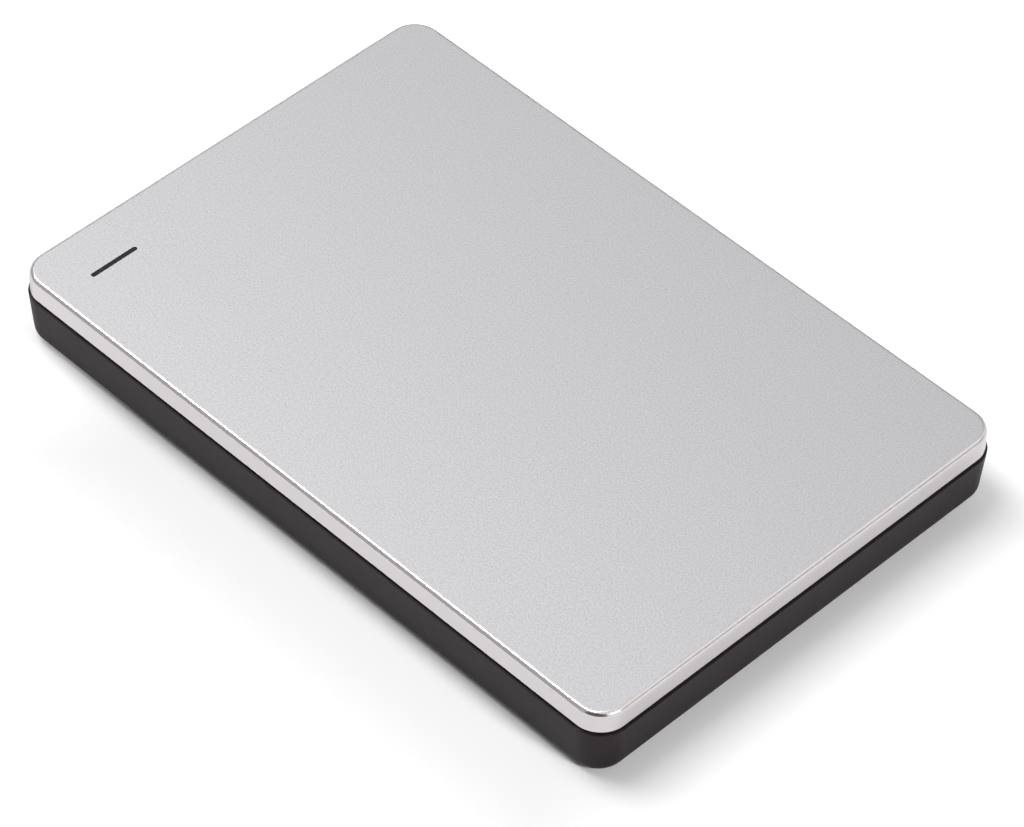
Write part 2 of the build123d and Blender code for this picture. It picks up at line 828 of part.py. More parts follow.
# Drive base: cast tray with the disc bowl, the motor well, the actuator pocket and the board recess
lid_screws = [
    (side * (drive_width / 2 - inset), y)
    for side in (-1, 1)
    for inset, y in (
        (lid_screw_inset, drive_back + lid_screw_back),
        (middle_screw_inset, disc_y + lid_screw_middle),
        (lid_screw_inset, drive_front - lid_screw_front),
    )
]
board_screw_x = drive_board_half - board_screw_inset
board_screw_clear = bowl_radius + screw_shank + bond + board_screw_wall
board_screw_back = disc_y + sqrt(board_screw_clear**2 - board_screw_x**2)
board_screws = [
    (side * board_screw_x, y)
    for side in (-1, 1)
    for y in (board_screw_back, pocket_front - board_screw_inset)
]
mount_holes = [
    (side * (drive_width / 2 - mount_hole_inset), drive_front - y)
    for side in (-1, 1)
    for y in mount_holes_from_front
]
gasket_sizes = (
    (drive_width - 2 * gasket_inset, drive_length - 2 * gasket_inset, drive_corner - gasket_inset),
    (
        drive_width - 2 * (gasket_inset + gasket_width),
        drive_length - 2 * (gasket_inset + gasket_width),
        drive_corner - gasket_inset - gasket_width,
    ),
)
pocket_low = disc_y + bowl_radius * sin(radians(pocket_turn))
bowl_edge = disc_y + bowl_radius
chip_pocket_left = chip_pocket_inset - drive_board_half
ramp_foot_start = head_radius + ramp_inner + ramp_width + ramp_foot_setback
ramp_screw_radius = ramp_foot_start + ramp_screw_out
ramp_screw_at = (
    pivot_x + ramp_screw_radius * cos(radians(parked)),
    pivot_y + ramp_screw_radius * sin(radians(parked)),
)

with BuildPart() as drive_base:
    with BuildSketch(level(drive_bottom)):
        with Locations((0, drive_middle)):
            RectangleRounded(drive_width, drive_length, drive_corner)
    extrude(amount=casting_top - drive_bottom)
    with BuildSketch(spindle_plane(bowl_floor)):
        Circle(bowl_radius)
    extrude(amount=casting_top - bowl_floor, mode=Mode.SUBTRACT)
    with BuildSketch(level(pocket_floor)):
        with Locations((0, (pocket_low + pocket_front) / 2)):
            RectangleRounded(drive_width - 2 * pocket_side_wall, pocket_front - pocket_low, pocket_corner)
    extrude(amount=casting_top - pocket_floor, mode=Mode.SUBTRACT)
    with BuildSketch(spindle_plane(motor_floor)):
        Circle(motor_well)
    extrude(amount=bowl_floor - motor_floor, mode=Mode.SUBTRACT)
    with BuildSketch(spindle_plane(motor_floor)):
        Circle(boss_radius + stator_seat)
    extrude(amount=stator_bottom - motor_floor)
    with BuildSketch(spindle_plane(motor_floor)):
        Circle(boss_radius)
    extrude(amount=stator_top - motor_floor)
    with BuildSketch(spindle_plane(drive_bottom)):
        Circle(sleeve_radius + bond)
    extrude(amount=stator_top - drive_bottom, mode=Mode.SUBTRACT)
    with BuildSketch(level(drive_bottom)):
        with Locations((0, (recess_back + drive_front + slip_fit) / 2)):
            Rectangle(2 * (drive_board_half + drive_board_side_gap), drive_front + slip_fit - recess_back)
    extrude(amount=recess_ceiling - drive_bottom, mode=Mode.SUBTRACT)
    with BuildSketch(level(recess_ceiling)):
        with Locations(
            (
                chip_pocket_left + chip_pocket_width / 2,
                (bowl_edge + chip_pocket_back + pocket_front - chip_pocket_front) / 2,
            )
        ):
            Rectangle(
                chip_pocket_width,
                pocket_front - chip_pocket_front - bowl_edge - chip_pocket_back,
            )
    extrude(amount=chip_ceiling - recess_ceiling, mode=Mode.SUBTRACT)
    with BuildSketch(level(recess_ceiling)):
        with Locations((plug_x, (plug_back + drive_front + slip_fit) / 2)):
            Rectangle(plug_width + 2 * slip_fit, drive_front + slip_fit - plug_back)
    extrude(amount=plug_top + slip_fit - recess_ceiling, mode=Mode.SUBTRACT)
    with BuildSketch(arm_plane(pocket_floor)):
        Circle(post_radius + bond)
    extrude(amount=-post_seat, mode=Mode.SUBTRACT)
    with BuildSketch(level(casting_top)):
        with Locations((0, drive_middle)):
            RectangleRounded(*gasket_sizes[0])
            RectangleRounded(*gasket_sizes[1], mode=Mode.SUBTRACT)
    extrude(amount=-gasket_height, mode=Mode.SUBTRACT)
    with BuildSketch(level(casting_top)):
        with Locations(*lid_screws):
            Circle(screw_shank + bond)
    extrude(amount=-screw_length, mode=Mode.SUBTRACT)
    with BuildSketch(level(recess_ceiling)):
        with Locations(*board_screws):
            Circle(screw_shank + bond)
    extrude(amount=board_screw_length, mode=Mode.SUBTRACT)
    with BuildSketch(level(drive_bottom)):
        with Locations(*mount_holes):
            Circle(mount_hole_radius)
    extrude(amount=mount_hole_depth, mode=Mode.SUBTRACT)
    with BuildSketch(level(pocket_floor)):
        with Locations(ramp_screw_at):
            Circle(screw_shank + bond)
    extrude(amount=-pocket_skin, mode=Mode.SUBTRACT)
save(drive_base.part, "drive_base")

# Drive cover with sunk screw seats, its gasket and its screws
with BuildPart() as drive_cover:
    with BuildSketch(level(casting_top)):
        with Locations((0, drive_middle)):
            RectangleRounded(drive_width, drive_length, drive_corner)
    extrude(amount=lid_thickness)
    with BuildSketch(level(drive_top)):
        with Locations(*lid_screws):
            Circle(screw_head + screw_clearance)
    extrude(amount=-screw_head_height, mode=Mode.SUBTRACT)
    with BuildSketch(level(casting_top)):
        with Locations(*lid_screws):
            Circle(screw_shank + screw_clearance)
    extrude(amount=lid_thickness, mode=Mode.SUBTRACT)
save(drive_cover.part, "drive_cover")

with BuildPart() as cover_gasket:
    with BuildSketch(level(casting_top)):
        with Locations((0, drive_middle)):
            RectangleRounded(*gasket_sizes[0])
            RectangleRounded(*gasket_sizes[1], mode=Mode.SUBTRACT)
    extrude(amount=-gasket_height)
save(cover_gasket.part, "cover_gasket")

lid_seat = drive_top - screw_head_height
screws(
    "cover_screws",
    lid_screws,
    lid_seat,
    1,
    (screw_head, screw_head_height, screw_shank, lid_seat - casting_top + screw_length),
    (screw_socket, screw_socket_depth),
)

# Drive board with its chips and screws
board_length = drive_front - recess_back - 2 * drive_board_side_gap

with BuildPart() as drive_board:
    with BuildSketch(level(drive_board_bottom)):
        with Locations((0, (recess_back + drive_front) / 2)):
            Rectangle(2 * drive_board_half, board_length)
        with Locations(*board_screws):
            Circle(screw_shank + screw_clearance, mode=Mode.SUBTRACT)
    extrude(amount=drive_board_thickness)
save(drive_board.part, "drive_board")

screws(
    "drive_board_screws",
    board_screws,
    drive_board_bottom,
    -1,
    (screw_head, board_screw_head_height, screw_shank, drive_board_thickness + chip_gap + board_screw_length),
    (screw_socket, screw_socket_depth),
)

chip_left = chip_pocket_left + chip_margin
chip_low = bowl_edge + chip_pocket_back + chip_margin
block(
    "drive_controller",
    chip_left + controller_size / 2,
    chip_low + controller_size / 2,
    drive_board_top,
    (controller_size, controller_size, chip_height),
)
block(
    "buffer_memory",
    chip_left + memory_length / 2,
    chip_low + controller_size + chip_margin + memory_width / 2,
    drive_board_top,
    (memory_length, memory_width, chip_height),
)
block(
    "motor_driver",
    chip_left + controller_size + chip_margin + driver_size / 2,
    chip_low + driver_size / 2,
    drive_board_top,
    (driver_size, driver_size, chip_height),
)

# Spindle bearing: sleeve in the boss, closed below by the thrust cap
cap_bottom = drive_bottom + thrust_cap_height / 2
cap_top = cap_bottom + thrust_cap_height

with BuildPart() as thrust_cap:
    with BuildSketch(spindle_plane(cap_bottom)):
        Circle(sleeve_radius)
    extrude(amount=thrust_cap_height)
save(thrust_cap.part, "thrust_cap")

with BuildPart() as bearing_sleeve:
    with BuildSketch(spindle_plane(cap_top)):
        Circle(sleeve_radius)
        Circle(shaft_radius + running_fit, mode=Mode.SUBTRACT)
    extrude(amount=hub_under - air_gap - cap_top)
save(bearing_sleeve.part, "bearing_sleeve")

# Stator: laminated ring with teeth and shoes, one coil round each tooth
tooth_start = boss_radius + stator_ring
shoe_start = stator_reach - stator_shoe_depth

with BuildPart() as motor_stator:
    with BuildSketch(spindle_plane(stator_bottom)):
        Circle(tooth_start)
        with PolarLocations(0, stator_teeth):
            with Locations(((tooth_start + shoe_start) / 2, 0)):
                Rectangle(shoe_start - boss_radius, stator_tooth_width)
            with Locations((shoe_start + stator_shoe_depth / 2, 0)):
                Rectangle(stator_shoe_depth, stator_shoe_width)
        Circle(stator_reach, mode=Mode.INTERSECT)
        Circle(boss_radius + bond, mode=Mode.SUBTRACT)
    extrude(amount=stator_top - stator_bottom)
save(motor_stator.part, "motor_stator")

coil_from = tooth_start + bond
coil_to = shoe_start - bond

with BuildPart() as motor_coils:
    with BuildSketch(spindle_plane(coil_bottom)):
        with PolarLocations(0, stator_teeth):
            with Locations(((coil_from + coil_to) / 2, 0)):
                Rectangle(coil_to - coil_from, stator_tooth_width + 2 * coil_wall)
    extrude(amount=coil_top - coil_bottom)
    with BuildSketch(spindle_plane(stator_bottom - bond)):
        with PolarLocations(0, stator_teeth):
            with Locations(((coil_from + coil_to) / 2, 0)):
                Rectangle(coil_to - coil_from, stator_tooth_width + 2 * bond)
    extrude(amount=stator_top - stator_bottom + 2 * bond, mode=Mode.SUBTRACT)
save(motor_coils.part, "motor_coils")

# Hub with the skirt for the rotor magnet and the flange under the disc
with BuildPart() as spindle_hub:
    with BuildSketch(Plane(origin=(0, disc_y, 0), x_dir=(1, 0, 0), z_dir=(0, -1, 0))):
        Polygon(
            (shaft_radius + bond, hub_under),
            (skirt_inner, hub_under),
            (skirt_inner, skirt_bottom),
            (skirt_outer, skirt_bottom),
            (skirt_outer, disc_bottom - hub_web_drop),
            (flange_radius, disc_bottom - hub_web_drop),
            (flange_radius, disc_bottom),
            (hub_radius, disc_bottom),
            (hub_radius, hub_top),
            (shaft_radius + bond, hub_top),
            align=None,
        )
    revolve(axis=Axis((0, disc_y, 0), (0, 0, 1)))
save(spindle_hub.part, "spindle_hub")

with BuildPart() as spindle_shaft:
    with BuildSketch(spindle_plane(cap_top + thrust_gap)):
        Circle(shaft_radius)
    extrude(amount=hub_top - cap_top - thrust_gap)
    with BuildSketch(spindle_plane(hub_top)):
        Circle(clamp_screw_shank + bond)
    extrude(amount=-clamp_screw_length, mode=Mode.SUBTRACT)
save(spindle_shaft.part, "spindle_shaft")

with BuildPart() as rotor_magnet:
    with BuildSketch(spindle_plane(skirt_bottom)):
        Circle(magnet_outer)
        Circle(magnet_inner, mode=Mode.SUBTRACT)
    extrude(amount=hub_under - bond - skirt_bottom)
save(rotor_magnet.part, "rotor_magnet")

with BuildPart() as platter:
    with BuildSketch(spindle_plane(disc_bottom)):
        Circle(disc_radius)
        Circle(disc_bore, mode=Mode.SUBTRACT)
    extrude(amount=disc_thickness)
save(platter.part, "platter")

# Disc clamp: spring plate whose foot presses on the disc round its bore
clamp_under = disc_top + clamp_lift
clamp_top = clamp_under + clamp_height

with BuildPart() as disc_clamp:
    with BuildSketch(Plane(origin=(0, disc_y, 0), x_dir=(1, 0, 0), z_dir=(0, -1, 0))):
        Polygon(
            (clamp_screw_shank + screw_clearance, clamp_under),
            (clamp_radius - clamp_foot - clamp_lift, clamp_under),
            (clamp_radius - clamp_foot, disc_top),
            (clamp_radius, disc_top),
            (clamp_radius, disc_top + clamp_height),
            (clamp_radius - clamp_foot, clamp_top),
            (clamp_screw_shank + screw_clearance, clamp_top),
            align=None,
        )
    revolve(axis=Axis((0, disc_y, 0), (0, 0, 1)))
save(disc_clamp.part, "disc_clamp")

clamp_screw_reach = clamp_top - hub_top + clamp_screw_length - bond
screws(
    "clamp_screw",
    [(0, disc_y)],
    clamp_top,
    1,
    (clamp_screw_head, clamp_screw_head_height, clamp_screw_shank, clamp_screw_reach),
    (clamp_socket, clamp_socket_depth),
)

# Actuator: pivot post, cartridge, arm block with two arms and the fantail that holds the coil
cartridge_radius = post_radius + running_fit + cartridge_wall
block_radius = cartridge_radius + bond + block_wall
coil_middle = (lower_arm + arms_top) / 2
coil_low = coil_middle - coil_thickness / 2
coil_high = coil_middle + coil_thickness / 2

with BuildPart() as pivot_post:
    with BuildSketch(arm_plane(pocket_floor - post_seat)):
        Circle(post_radius)
    extrude(amount=casting_top - post_headroom - pocket_floor + post_seat)
save(pivot_post.part, "pivot_post")

with BuildPart() as pivot_cartridge:
    with BuildSketch(arm_plane(lower_arm)):
        Circle(cartridge_radius)
        Circle(post_radius + running_fit, mode=Mode.SUBTRACT)
    extrude(amount=arms_top - lower_arm)
save(pivot_cartridge.part, "pivot_cartridge")

with BuildPart() as actuator_arm:
    with BuildSketch(arm_plane(lower_arm)):
        Circle(block_radius)
    extrude(amount=arms_top - lower_arm)
    for arm_bottom in (lower_arm, upper_arm):
        with BuildSketch(arm_plane(arm_bottom)):
            taper_strip(0, arm_root, arm_length, arm_tip)
            with Locations((arm_length - arm_hole_from_tip, 0)):
                Circle(arm_hole, mode=Mode.SUBTRACT)
        extrude(amount=arm_thickness)
    with BuildSketch(arm_plane(coil_low)):
        taper_strip(-coil_start, fantail_half, 0, block_radius)
    extrude(amount=coil_thickness)
    with BuildSketch(arm_plane(lower_arm)):
        Circle(cartridge_radius + bond)
    extrude(amount=arms_top - lower_arm, mode=Mode.SUBTRACT)
save(actuator_arm.part, "actuator_arm")

with BuildPart() as voice_coil:
    with BuildSketch(arm_plane(coil_low)) as coil_outline:
        taper_strip(-coil_end, coil_end_half, -coil_start, coil_start_half)
        fillet(coil_outline.vertices(), coil_corner)
    extrude(amount=coil_thickness)
    with BuildSketch(arm_plane(coil_low)) as coil_hole:
        taper_strip(
            -coil_end + coil_band,
            coil_end_half - coil_band,
            -coil_start - coil_band,
            coil_start_half - coil_band / 2,
        )
        fillet(coil_hole.vertices(), coil_hole_corner)
    extrude(amount=coil_thickness, mode=Mode.SUBTRACT)
save(voice_coil.part, "voice_coil")

beam_end = head_radius + ramp_inner - (tab_length - ramp_width)

with BuildPart() as head_suspensions:
    for beam_bottom in (lower_beam, upper_beam):
        with BuildSketch(arm_plane(beam_bottom)):
            taper_strip(arm_length - beam_lap, beam_root, beam_end, beam_tip)
            taper_strip(beam_end, tab_half_width, beam_end + tab_length, tab_half_width)
        extrude(amount=beam_thickness)
save(head_suspensions.part, "head_suspensions")

with BuildPart() as head_sliders:
    for slider_bottom in (lower_slider, upper_slider):
        with BuildSketch(arm_plane(slider_bottom)):
            with Locations((head_radius, 0)):
                Rectangle(slider_length, slider_width)
        extrude(amount=slider_height)
save(head_sliders.part, "head_sliders")

# Voice coil motor: yokes above and below the coil, a magnet on each, posts with rubber stops
stop_radius = yoke_post + bond + stop_wall
coil_edge = degrees(atan2(coil_end_half - coil_start_half, coil_end - coil_start))
edge_offset = coil_start_half * cos(radians(coil_edge)) - coil_start * sin(radians(coil_edge))
post_turn = coil_edge + degrees(asin((edge_offset + stop_radius + stop_gap) / post_circle))
post_turns = (coil_parked - post_turn, coil_parked + swing + post_turn)
post_places = [(post_circle * cos(radians(t)), post_circle * sin(radians(t))) for t in post_turns]
lower_yoke_top = pocket_floor + yoke_thickness
lower_magnet_top = coil_low - motor_gap
upper_magnet_bottom = coil_high + motor_gap
upper_yoke_bottom = upper_magnet_bottom + magnet_thickness
yoke_levels = (("lower_yoke", pocket_floor), ("upper_yoke", upper_yoke_bottom))
magnet_levels = (
    ("lower_magnet", lower_yoke_top, lower_magnet_top - lower_yoke_top),
    ("upper_magnet", upper_magnet_bottom, magnet_thickness),
)

for name, bottom in yoke_levels:
    with BuildPart() as yoke:
        with BuildSketch(arm_plane(bottom, 0)):
            sector(yoke_inner, vcm_reach, post_turns[0] - yoke_margin, post_turns[1] + yoke_margin)
        extrude(amount=yoke_thickness)
    save(yoke.part, name)

for name, bottom, height in magnet_levels:
    with BuildPart() as magnet:
        with BuildSketch(arm_plane(bottom, 0)):
            sector(
                yoke_inner + magnet_inset,
                vcm_reach - magnet_inset,
                coil_parked - magnet_margin,
                coil_parked + swing + magnet_margin,
            )
        extrude(amount=height)
    save(magnet.part, name)

with BuildPart() as yoke_posts:
    with BuildSketch(arm_plane(lower_yoke_top, 0)):
        with Locations(*post_places):
            Circle(yoke_post)
    extrude(amount=upper_yoke_bottom - lower_yoke_top)
save(yoke_posts.part, "yoke_posts")

with BuildPart() as crash_stops:
    with BuildSketch(arm_plane(coil_low - motor_gap, 0)):
        with Locations(*post_places):
            Circle(stop_radius)
            Circle(yoke_post + bond, mode=Mode.SUBTRACT)
    extrude(amount=coil_thickness + 2 * motor_gap)
save(crash_stops.part, "crash_stops")

# Parking ramp: comb at the disc's rim that carries the heads' tabs, on a foot screwed to the base
ramp_bottom = lower_slider + ramp_tab_gap
ramp_top = upper_beam - ramp_tab_gap
ramp_from = head_radius + ramp_inner
ramp_end = head_direction(disc_radius - ramp_over_disc, ramp_from + ramp_width / 2) - parked
foot_top = pocket_floor + ramp_foot_height

with BuildPart() as parking_ramp:
    with BuildSketch(arm_plane(ramp_bottom)):
        sector(ramp_from, ramp_foot_start + ramp_foot_setback, -ramp_behind, ramp_end)
    extrude(amount=ramp_top - ramp_bottom)
    with BuildSketch(arm_plane(pocket_floor)):
        with Locations((ramp_foot_start + ramp_foot_length / 2, 0)):
            Rectangle(ramp_foot_length, 2 * ramp_foot_half)
    extrude(amount=ramp_top - pocket_floor)
    with BuildSketch(level(foot_top)):
        with Locations(ramp_screw_at):
            Circle(screw_head + screw_clearance)
    extrude(amount=ramp_top - foot_top, mode=Mode.SUBTRACT)
    with BuildSketch(level(pocket_floor)):
        with Locations(ramp_screw_at):
            Circle(screw_shank + screw_clearance)
    extrude(amount=ramp_foot_height, mode=Mode.SUBTRACT)
    with BuildSketch(spindle_plane(disc_bottom - ramp_tab_gap)):
        Circle(disc_radius + ramp_disc_gap)
    extrude(amount=disc_thickness + 2 * ramp_tab_gap, mode=Mode.SUBTRACT)
save(parking_ramp.part, "parking_ramp")

screws(
    "ramp_screw",
    [ramp_screw_at],
    foot_top,
    1,
    (screw_head, screw_head_height, screw_shank, ramp_foot_height + pocket_skin - bond),
    (screw_socket, screw_socket_depth),
)

# Recirculation filter in the corner beside the disc
filter_outward = Vector(1, 0, 0).rotate(Axis.Z, filter_turn)
filter_at = Vector(0, disc_y, pocket_floor) + filter_outward * (disc_radius + filter_beyond_rim)

with BuildPart() as air_filter:
    with BuildSketch(Plane(origin=filter_at, x_dir=filter_outward)):
        Rectangle(filter_length, filter_width)
    extrude(amount=filter_height)
save(air_filter.part, "air_filter")

# Flex cable: ribbon on edge from the arm block to its bracket beside the disc
bracket_from_disc = disc_radius + bracket_beyond_rim
bracket_x = bracket_from_disc * cos(radians(bracket_turn))
bracket_y = disc_y + bracket_from_disc * sin(radians(bracket_turn))
flex_low = coil_middle - flex_height / 2
flex_start_radius = block_radius + flex_gap
flex_start_turn = radians(parked + flex_turn)
flex_start = Vector(
    pivot_x + flex_start_radius * cos(flex_start_turn), pivot_y + flex_start_radius * sin(flex_start_turn)
)
flex_end = Vector(bracket_x - bracket_length / 2 - flex_gap, bracket_y)
flex_run = flex_end - flex_start
flex_middle = (flex_start + flex_end) / 2 + flex_run.normalized().rotate(Axis.Z, -90) * flex_bulge

with BuildPart() as flex_cable:
    with BuildSketch(level(flex_low)):
        with BuildLine():
            ThreePointArc(flex_start, flex_middle, flex_end)
        trace(line_width=flex_thickness)
    extrude(amount=flex_height)
save(flex_cable.part, "flex_cable")

with BuildPart() as flex_bracket:
    with BuildSketch(level(pocket_floor)):
        with Locations((bracket_x, bracket_y)):
            Rectangle(bracket_length, bracket_width)
    extrude(amount=bracket_height)
save(flex_bracket.part, "flex_bracket")
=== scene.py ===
"""Looks of a portable external hard drive: finishes, fine outer shells and a studio round the frame."""

import json
import logging
import math
from collections.abc import Callable, Iterator
from dataclasses import dataclass, field, replace
from enum import Enum

import bmesh
import bpy
from mathutils import Matrix, Vector


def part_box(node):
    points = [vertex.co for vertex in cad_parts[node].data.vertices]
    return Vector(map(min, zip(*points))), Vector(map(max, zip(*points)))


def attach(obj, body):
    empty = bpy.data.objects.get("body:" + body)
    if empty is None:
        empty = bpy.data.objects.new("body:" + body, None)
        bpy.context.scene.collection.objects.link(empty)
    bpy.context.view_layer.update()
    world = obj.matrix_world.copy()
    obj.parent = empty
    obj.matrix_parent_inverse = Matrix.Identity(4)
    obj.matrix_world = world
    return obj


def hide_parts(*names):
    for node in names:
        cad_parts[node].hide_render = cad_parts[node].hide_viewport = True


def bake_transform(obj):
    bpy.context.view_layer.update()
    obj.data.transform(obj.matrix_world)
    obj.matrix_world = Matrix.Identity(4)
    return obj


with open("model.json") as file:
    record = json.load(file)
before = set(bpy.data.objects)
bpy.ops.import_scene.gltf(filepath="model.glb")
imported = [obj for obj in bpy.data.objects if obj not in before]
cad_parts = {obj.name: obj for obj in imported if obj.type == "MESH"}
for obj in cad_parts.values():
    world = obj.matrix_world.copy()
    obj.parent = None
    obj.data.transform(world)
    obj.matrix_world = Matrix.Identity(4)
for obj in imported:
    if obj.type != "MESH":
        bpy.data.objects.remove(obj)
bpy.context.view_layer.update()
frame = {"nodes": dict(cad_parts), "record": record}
MM = 0.001
IMAGE_WIDTH = 1024
SENSOR_WIDTH = 36.0
# Places closer than this, in millimetres, count as the same
TOUCH = 1e-3
# Points closer than this, in metres, are welded into one
WELD = 1e-7
# A wave texture of scale 1 repeats every pi / 10 units
WAVE_PITCH = math.pi / 10
# Brushed grain is this many times as long as it is wide
GRAIN_STRETCH = 40
# The range in which nearly all values of a noise texture lie
NOISE_SPAN = (0.28, 0.72)
# Sockets of the Mix node by number, because their names repeat for each type of data
MIX_SHARE, MIX_FROM, MIX_TO, MIXED = 0, 2, 3, 0
TINT_FROM, TINT_TO, TINTED = 6, 7, 2
log = logging.getLogger("looks")

Socket = bpy.types.NodeSocket
Tree = bpy.types.NodeTree
Pair = tuple[float, float]
Triple = tuple[float, float, float]


def linear(hex_colour: str) -> tuple[float, float, float, float]:
    """Turn an sRGB hex colour to linear light, by the curve of the sRGB standard.

    Args:
        hex_colour: The colour as # and six hex digits.

    Returns:
        Linear red, green and blue, and an alpha of 1.
    """
    shares = [int(hex_colour[at:at + 2], 16) / 255 for at in (1, 3, 5)]
    red, green, blue = (c / 12.92 if c <= 0.04045 else ((c + 0.055) / 1.055) ** 2.4 for c in shares)
    return red, green, blue, 1.0


def add(
    tree: Tree, kind: str, sockets: dict[str | int, object] | None = None, **settings: object
) -> bpy.types.Node:
    """Add a shader node with its settings, socket values and links.

    Args:
        tree: The node tree that gets the node.
        kind: The node's type, without its common prefix.
        sockets: Input name or number to a value, or to the output that is linked to it.
        settings: Properties of the node.

    Returns:
        The new node.
    """
    node = tree.nodes.new("ShaderNode" + kind)
    for name, value in settings.items():
        setattr(node, name, value)
    for key, value in (sockets or {}).items():
        if isinstance(value, Socket):
            tree.links.new(value, node.inputs[key])
        else:
            node.inputs[key].default_value = value
    return node


def fillet_run(radius: float, draft: float) -> float:
    """Give how far from a sharp edge its fillet starts, on a wall that leans in by its draft in degrees."""
    return radius * math.tan(math.radians((90 - draft) / 2))


def inside_outline(point: Vector, size: Vector, corner: float) -> float:
    """Measure how far a point lies inside a rounded rectangle round the origin.

    Args:
        point: The point.
        size: Width and length of the rectangle.
        corner: Radius of its corners.

    Returns:
        The distance to the outline, seen from above.
    """
    across = size.x / 2 - abs(point.x)
    along = size.y / 2 - abs(point.y)
    if across < corner and along < corner:
        return corner - math.hypot(corner - across, corner - along)
    return min(across, along)


class Pattern(Enum):
    """How a surface was made, which gives the pattern that shows on it."""

    GRIT = "blasted or spark-eroded grit"
    CAST = "cast or moulded skin"
    BRUSHED = "straight grain of rolled or plated sheet"
    TURNED = "rings left by the lathe"
    WOUND = "turns of wire"
    CELLS = "open foam cells"
    TRACKS = "copper tracks under a mask"


@dataclass(frozen=True)
class Finish:
    """A real material with its process, colours, gloss and surface pattern.

    The pitch and the relief of the pattern, and the axis of its rings, are in millimetres.
    """

    name: str
    base: str
    tint: str
    pattern: Pattern
    pitch: float
    relief: float
    roughness: Pair
    metallic: float = 0.0
    ior: float | None = None
    specular: float | None = None
    sheen: float = 0.0
    mirror_tint: str = "#FFFFFF"
    axis: Pair = (0.0, 0.0)

    def height(self, tree: Tree) -> Socket:
        """Build the pattern on the piece's own coordinates, one unit to a pitch.

        Args:
            tree: The material's node tree.

        Returns:
            The output that holds the pattern's height, from 0 to 1.
        """
        per_pitch = 1 / (self.pitch * MM)
        scale = [per_pitch] * 3
        if self.pattern is Pattern.BRUSHED:
            scale[0] = per_pitch / GRAIN_STRETCH
        place = add(tree, "TexCoord").outputs["Object"]
        centre = (-self.axis[0] * MM * scale[0], -self.axis[1] * MM * scale[1], 0.0)
        spot = add(tree, "Mapping", {"Vector": place, "Scale": scale, "Location": centre}).outputs["Vector"]
        match self.pattern:
            case Pattern.TURNED:
                rings = {"Vector": spot, "Scale": WAVE_PITCH, "Distortion": 0.6, "Detail": 1.0}
                return add(tree, "TexWave", rings, wave_type="RINGS", rings_direction="Z").outputs["Fac"]
            case Pattern.WOUND:
                turns = {"Vector": spot, "Scale": WAVE_PITCH, "Distortion": 0.3}
                return add(tree, "TexWave", turns, bands_direction="DIAGONAL").outputs["Fac"]
            case Pattern.CELLS:
                return add(tree, "TexVoronoi", {"Vector": spot, "Scale": 1.0}).outputs["Distance"]
            case Pattern.TRACKS:
                lanes = {"Vector": spot, "Scale": 1.0, "Mortar Size": 0.06, "Mortar Smooth": 0.3}
                return add(tree, "TexBrick", lanes).outputs["Fac"]
            case Pattern.GRIT:
                detail = 1.0
            case _:
                detail = 4.0
        grain = {"Vector": spot, "Scale": 1.0, "Detail": detail, "Roughness": 0.6}
        noise = add(tree, "TexNoise", grain).outputs["Fac"]
        span = {"Value": noise, "From Min": NOISE_SPAN[0], "From Max": NOISE_SPAN[1]}
        return add(tree, "MapRange", span).outputs["Result"]

    def colour(self, tree: Tree, height: Socket) -> Socket:
        """Let the colour follow the pattern between its two ends."""
        ends = {MIX_SHARE: height, TINT_FROM: linear(self.base), TINT_TO: linear(self.tint)}
        return add(tree, "Mix", ends, data_type="RGBA").outputs[TINTED]

    def gloss(self, tree: Tree, height: Socket) -> Socket:
        """Let the roughness follow the pattern between its two ends."""
        ends = {"Value": height, "To Min": self.roughness[0], "To Max": self.roughness[1]}
        return add(tree, "MapRange", ends).outputs["Result"]

    def material(self) -> bpy.types.Material:
        """Build the material once and give the same one on later calls.

        Returns:
            The Blender material of this finish.
        """
        made = bpy.data.materials.get(self.name)
        if made:
            return made
        made = bpy.data.materials.new(self.name)
        made.use_nodes = True
        tree = made.node_tree
        tree.nodes.clear()
        height = self.height(tree)
        bump = add(tree, "Bump", {"Height": height, "Strength": 1.0, "Distance": self.relief * MM})
        sockets = {
            "Base Color": self.colour(tree, height),
            "Roughness": self.gloss(tree, height),
            "Normal": bump.outputs["Normal"],
            "Metallic": self.metallic,
            "Specular Tint": linear(self.mirror_tint),
        }
        if self.ior:
            sockets["IOR"] = self.ior
        if self.specular is not None:
            sockets["Specular IOR Level"] = self.specular
        if self.sheen:
            sockets["Sheen Weight"] = self.sheen
        shader = add(tree, "BsdfPrincipled", sockets)
        add(tree, "OutputMaterial", {"Surface": shader.outputs["BSDF"]})
        return made


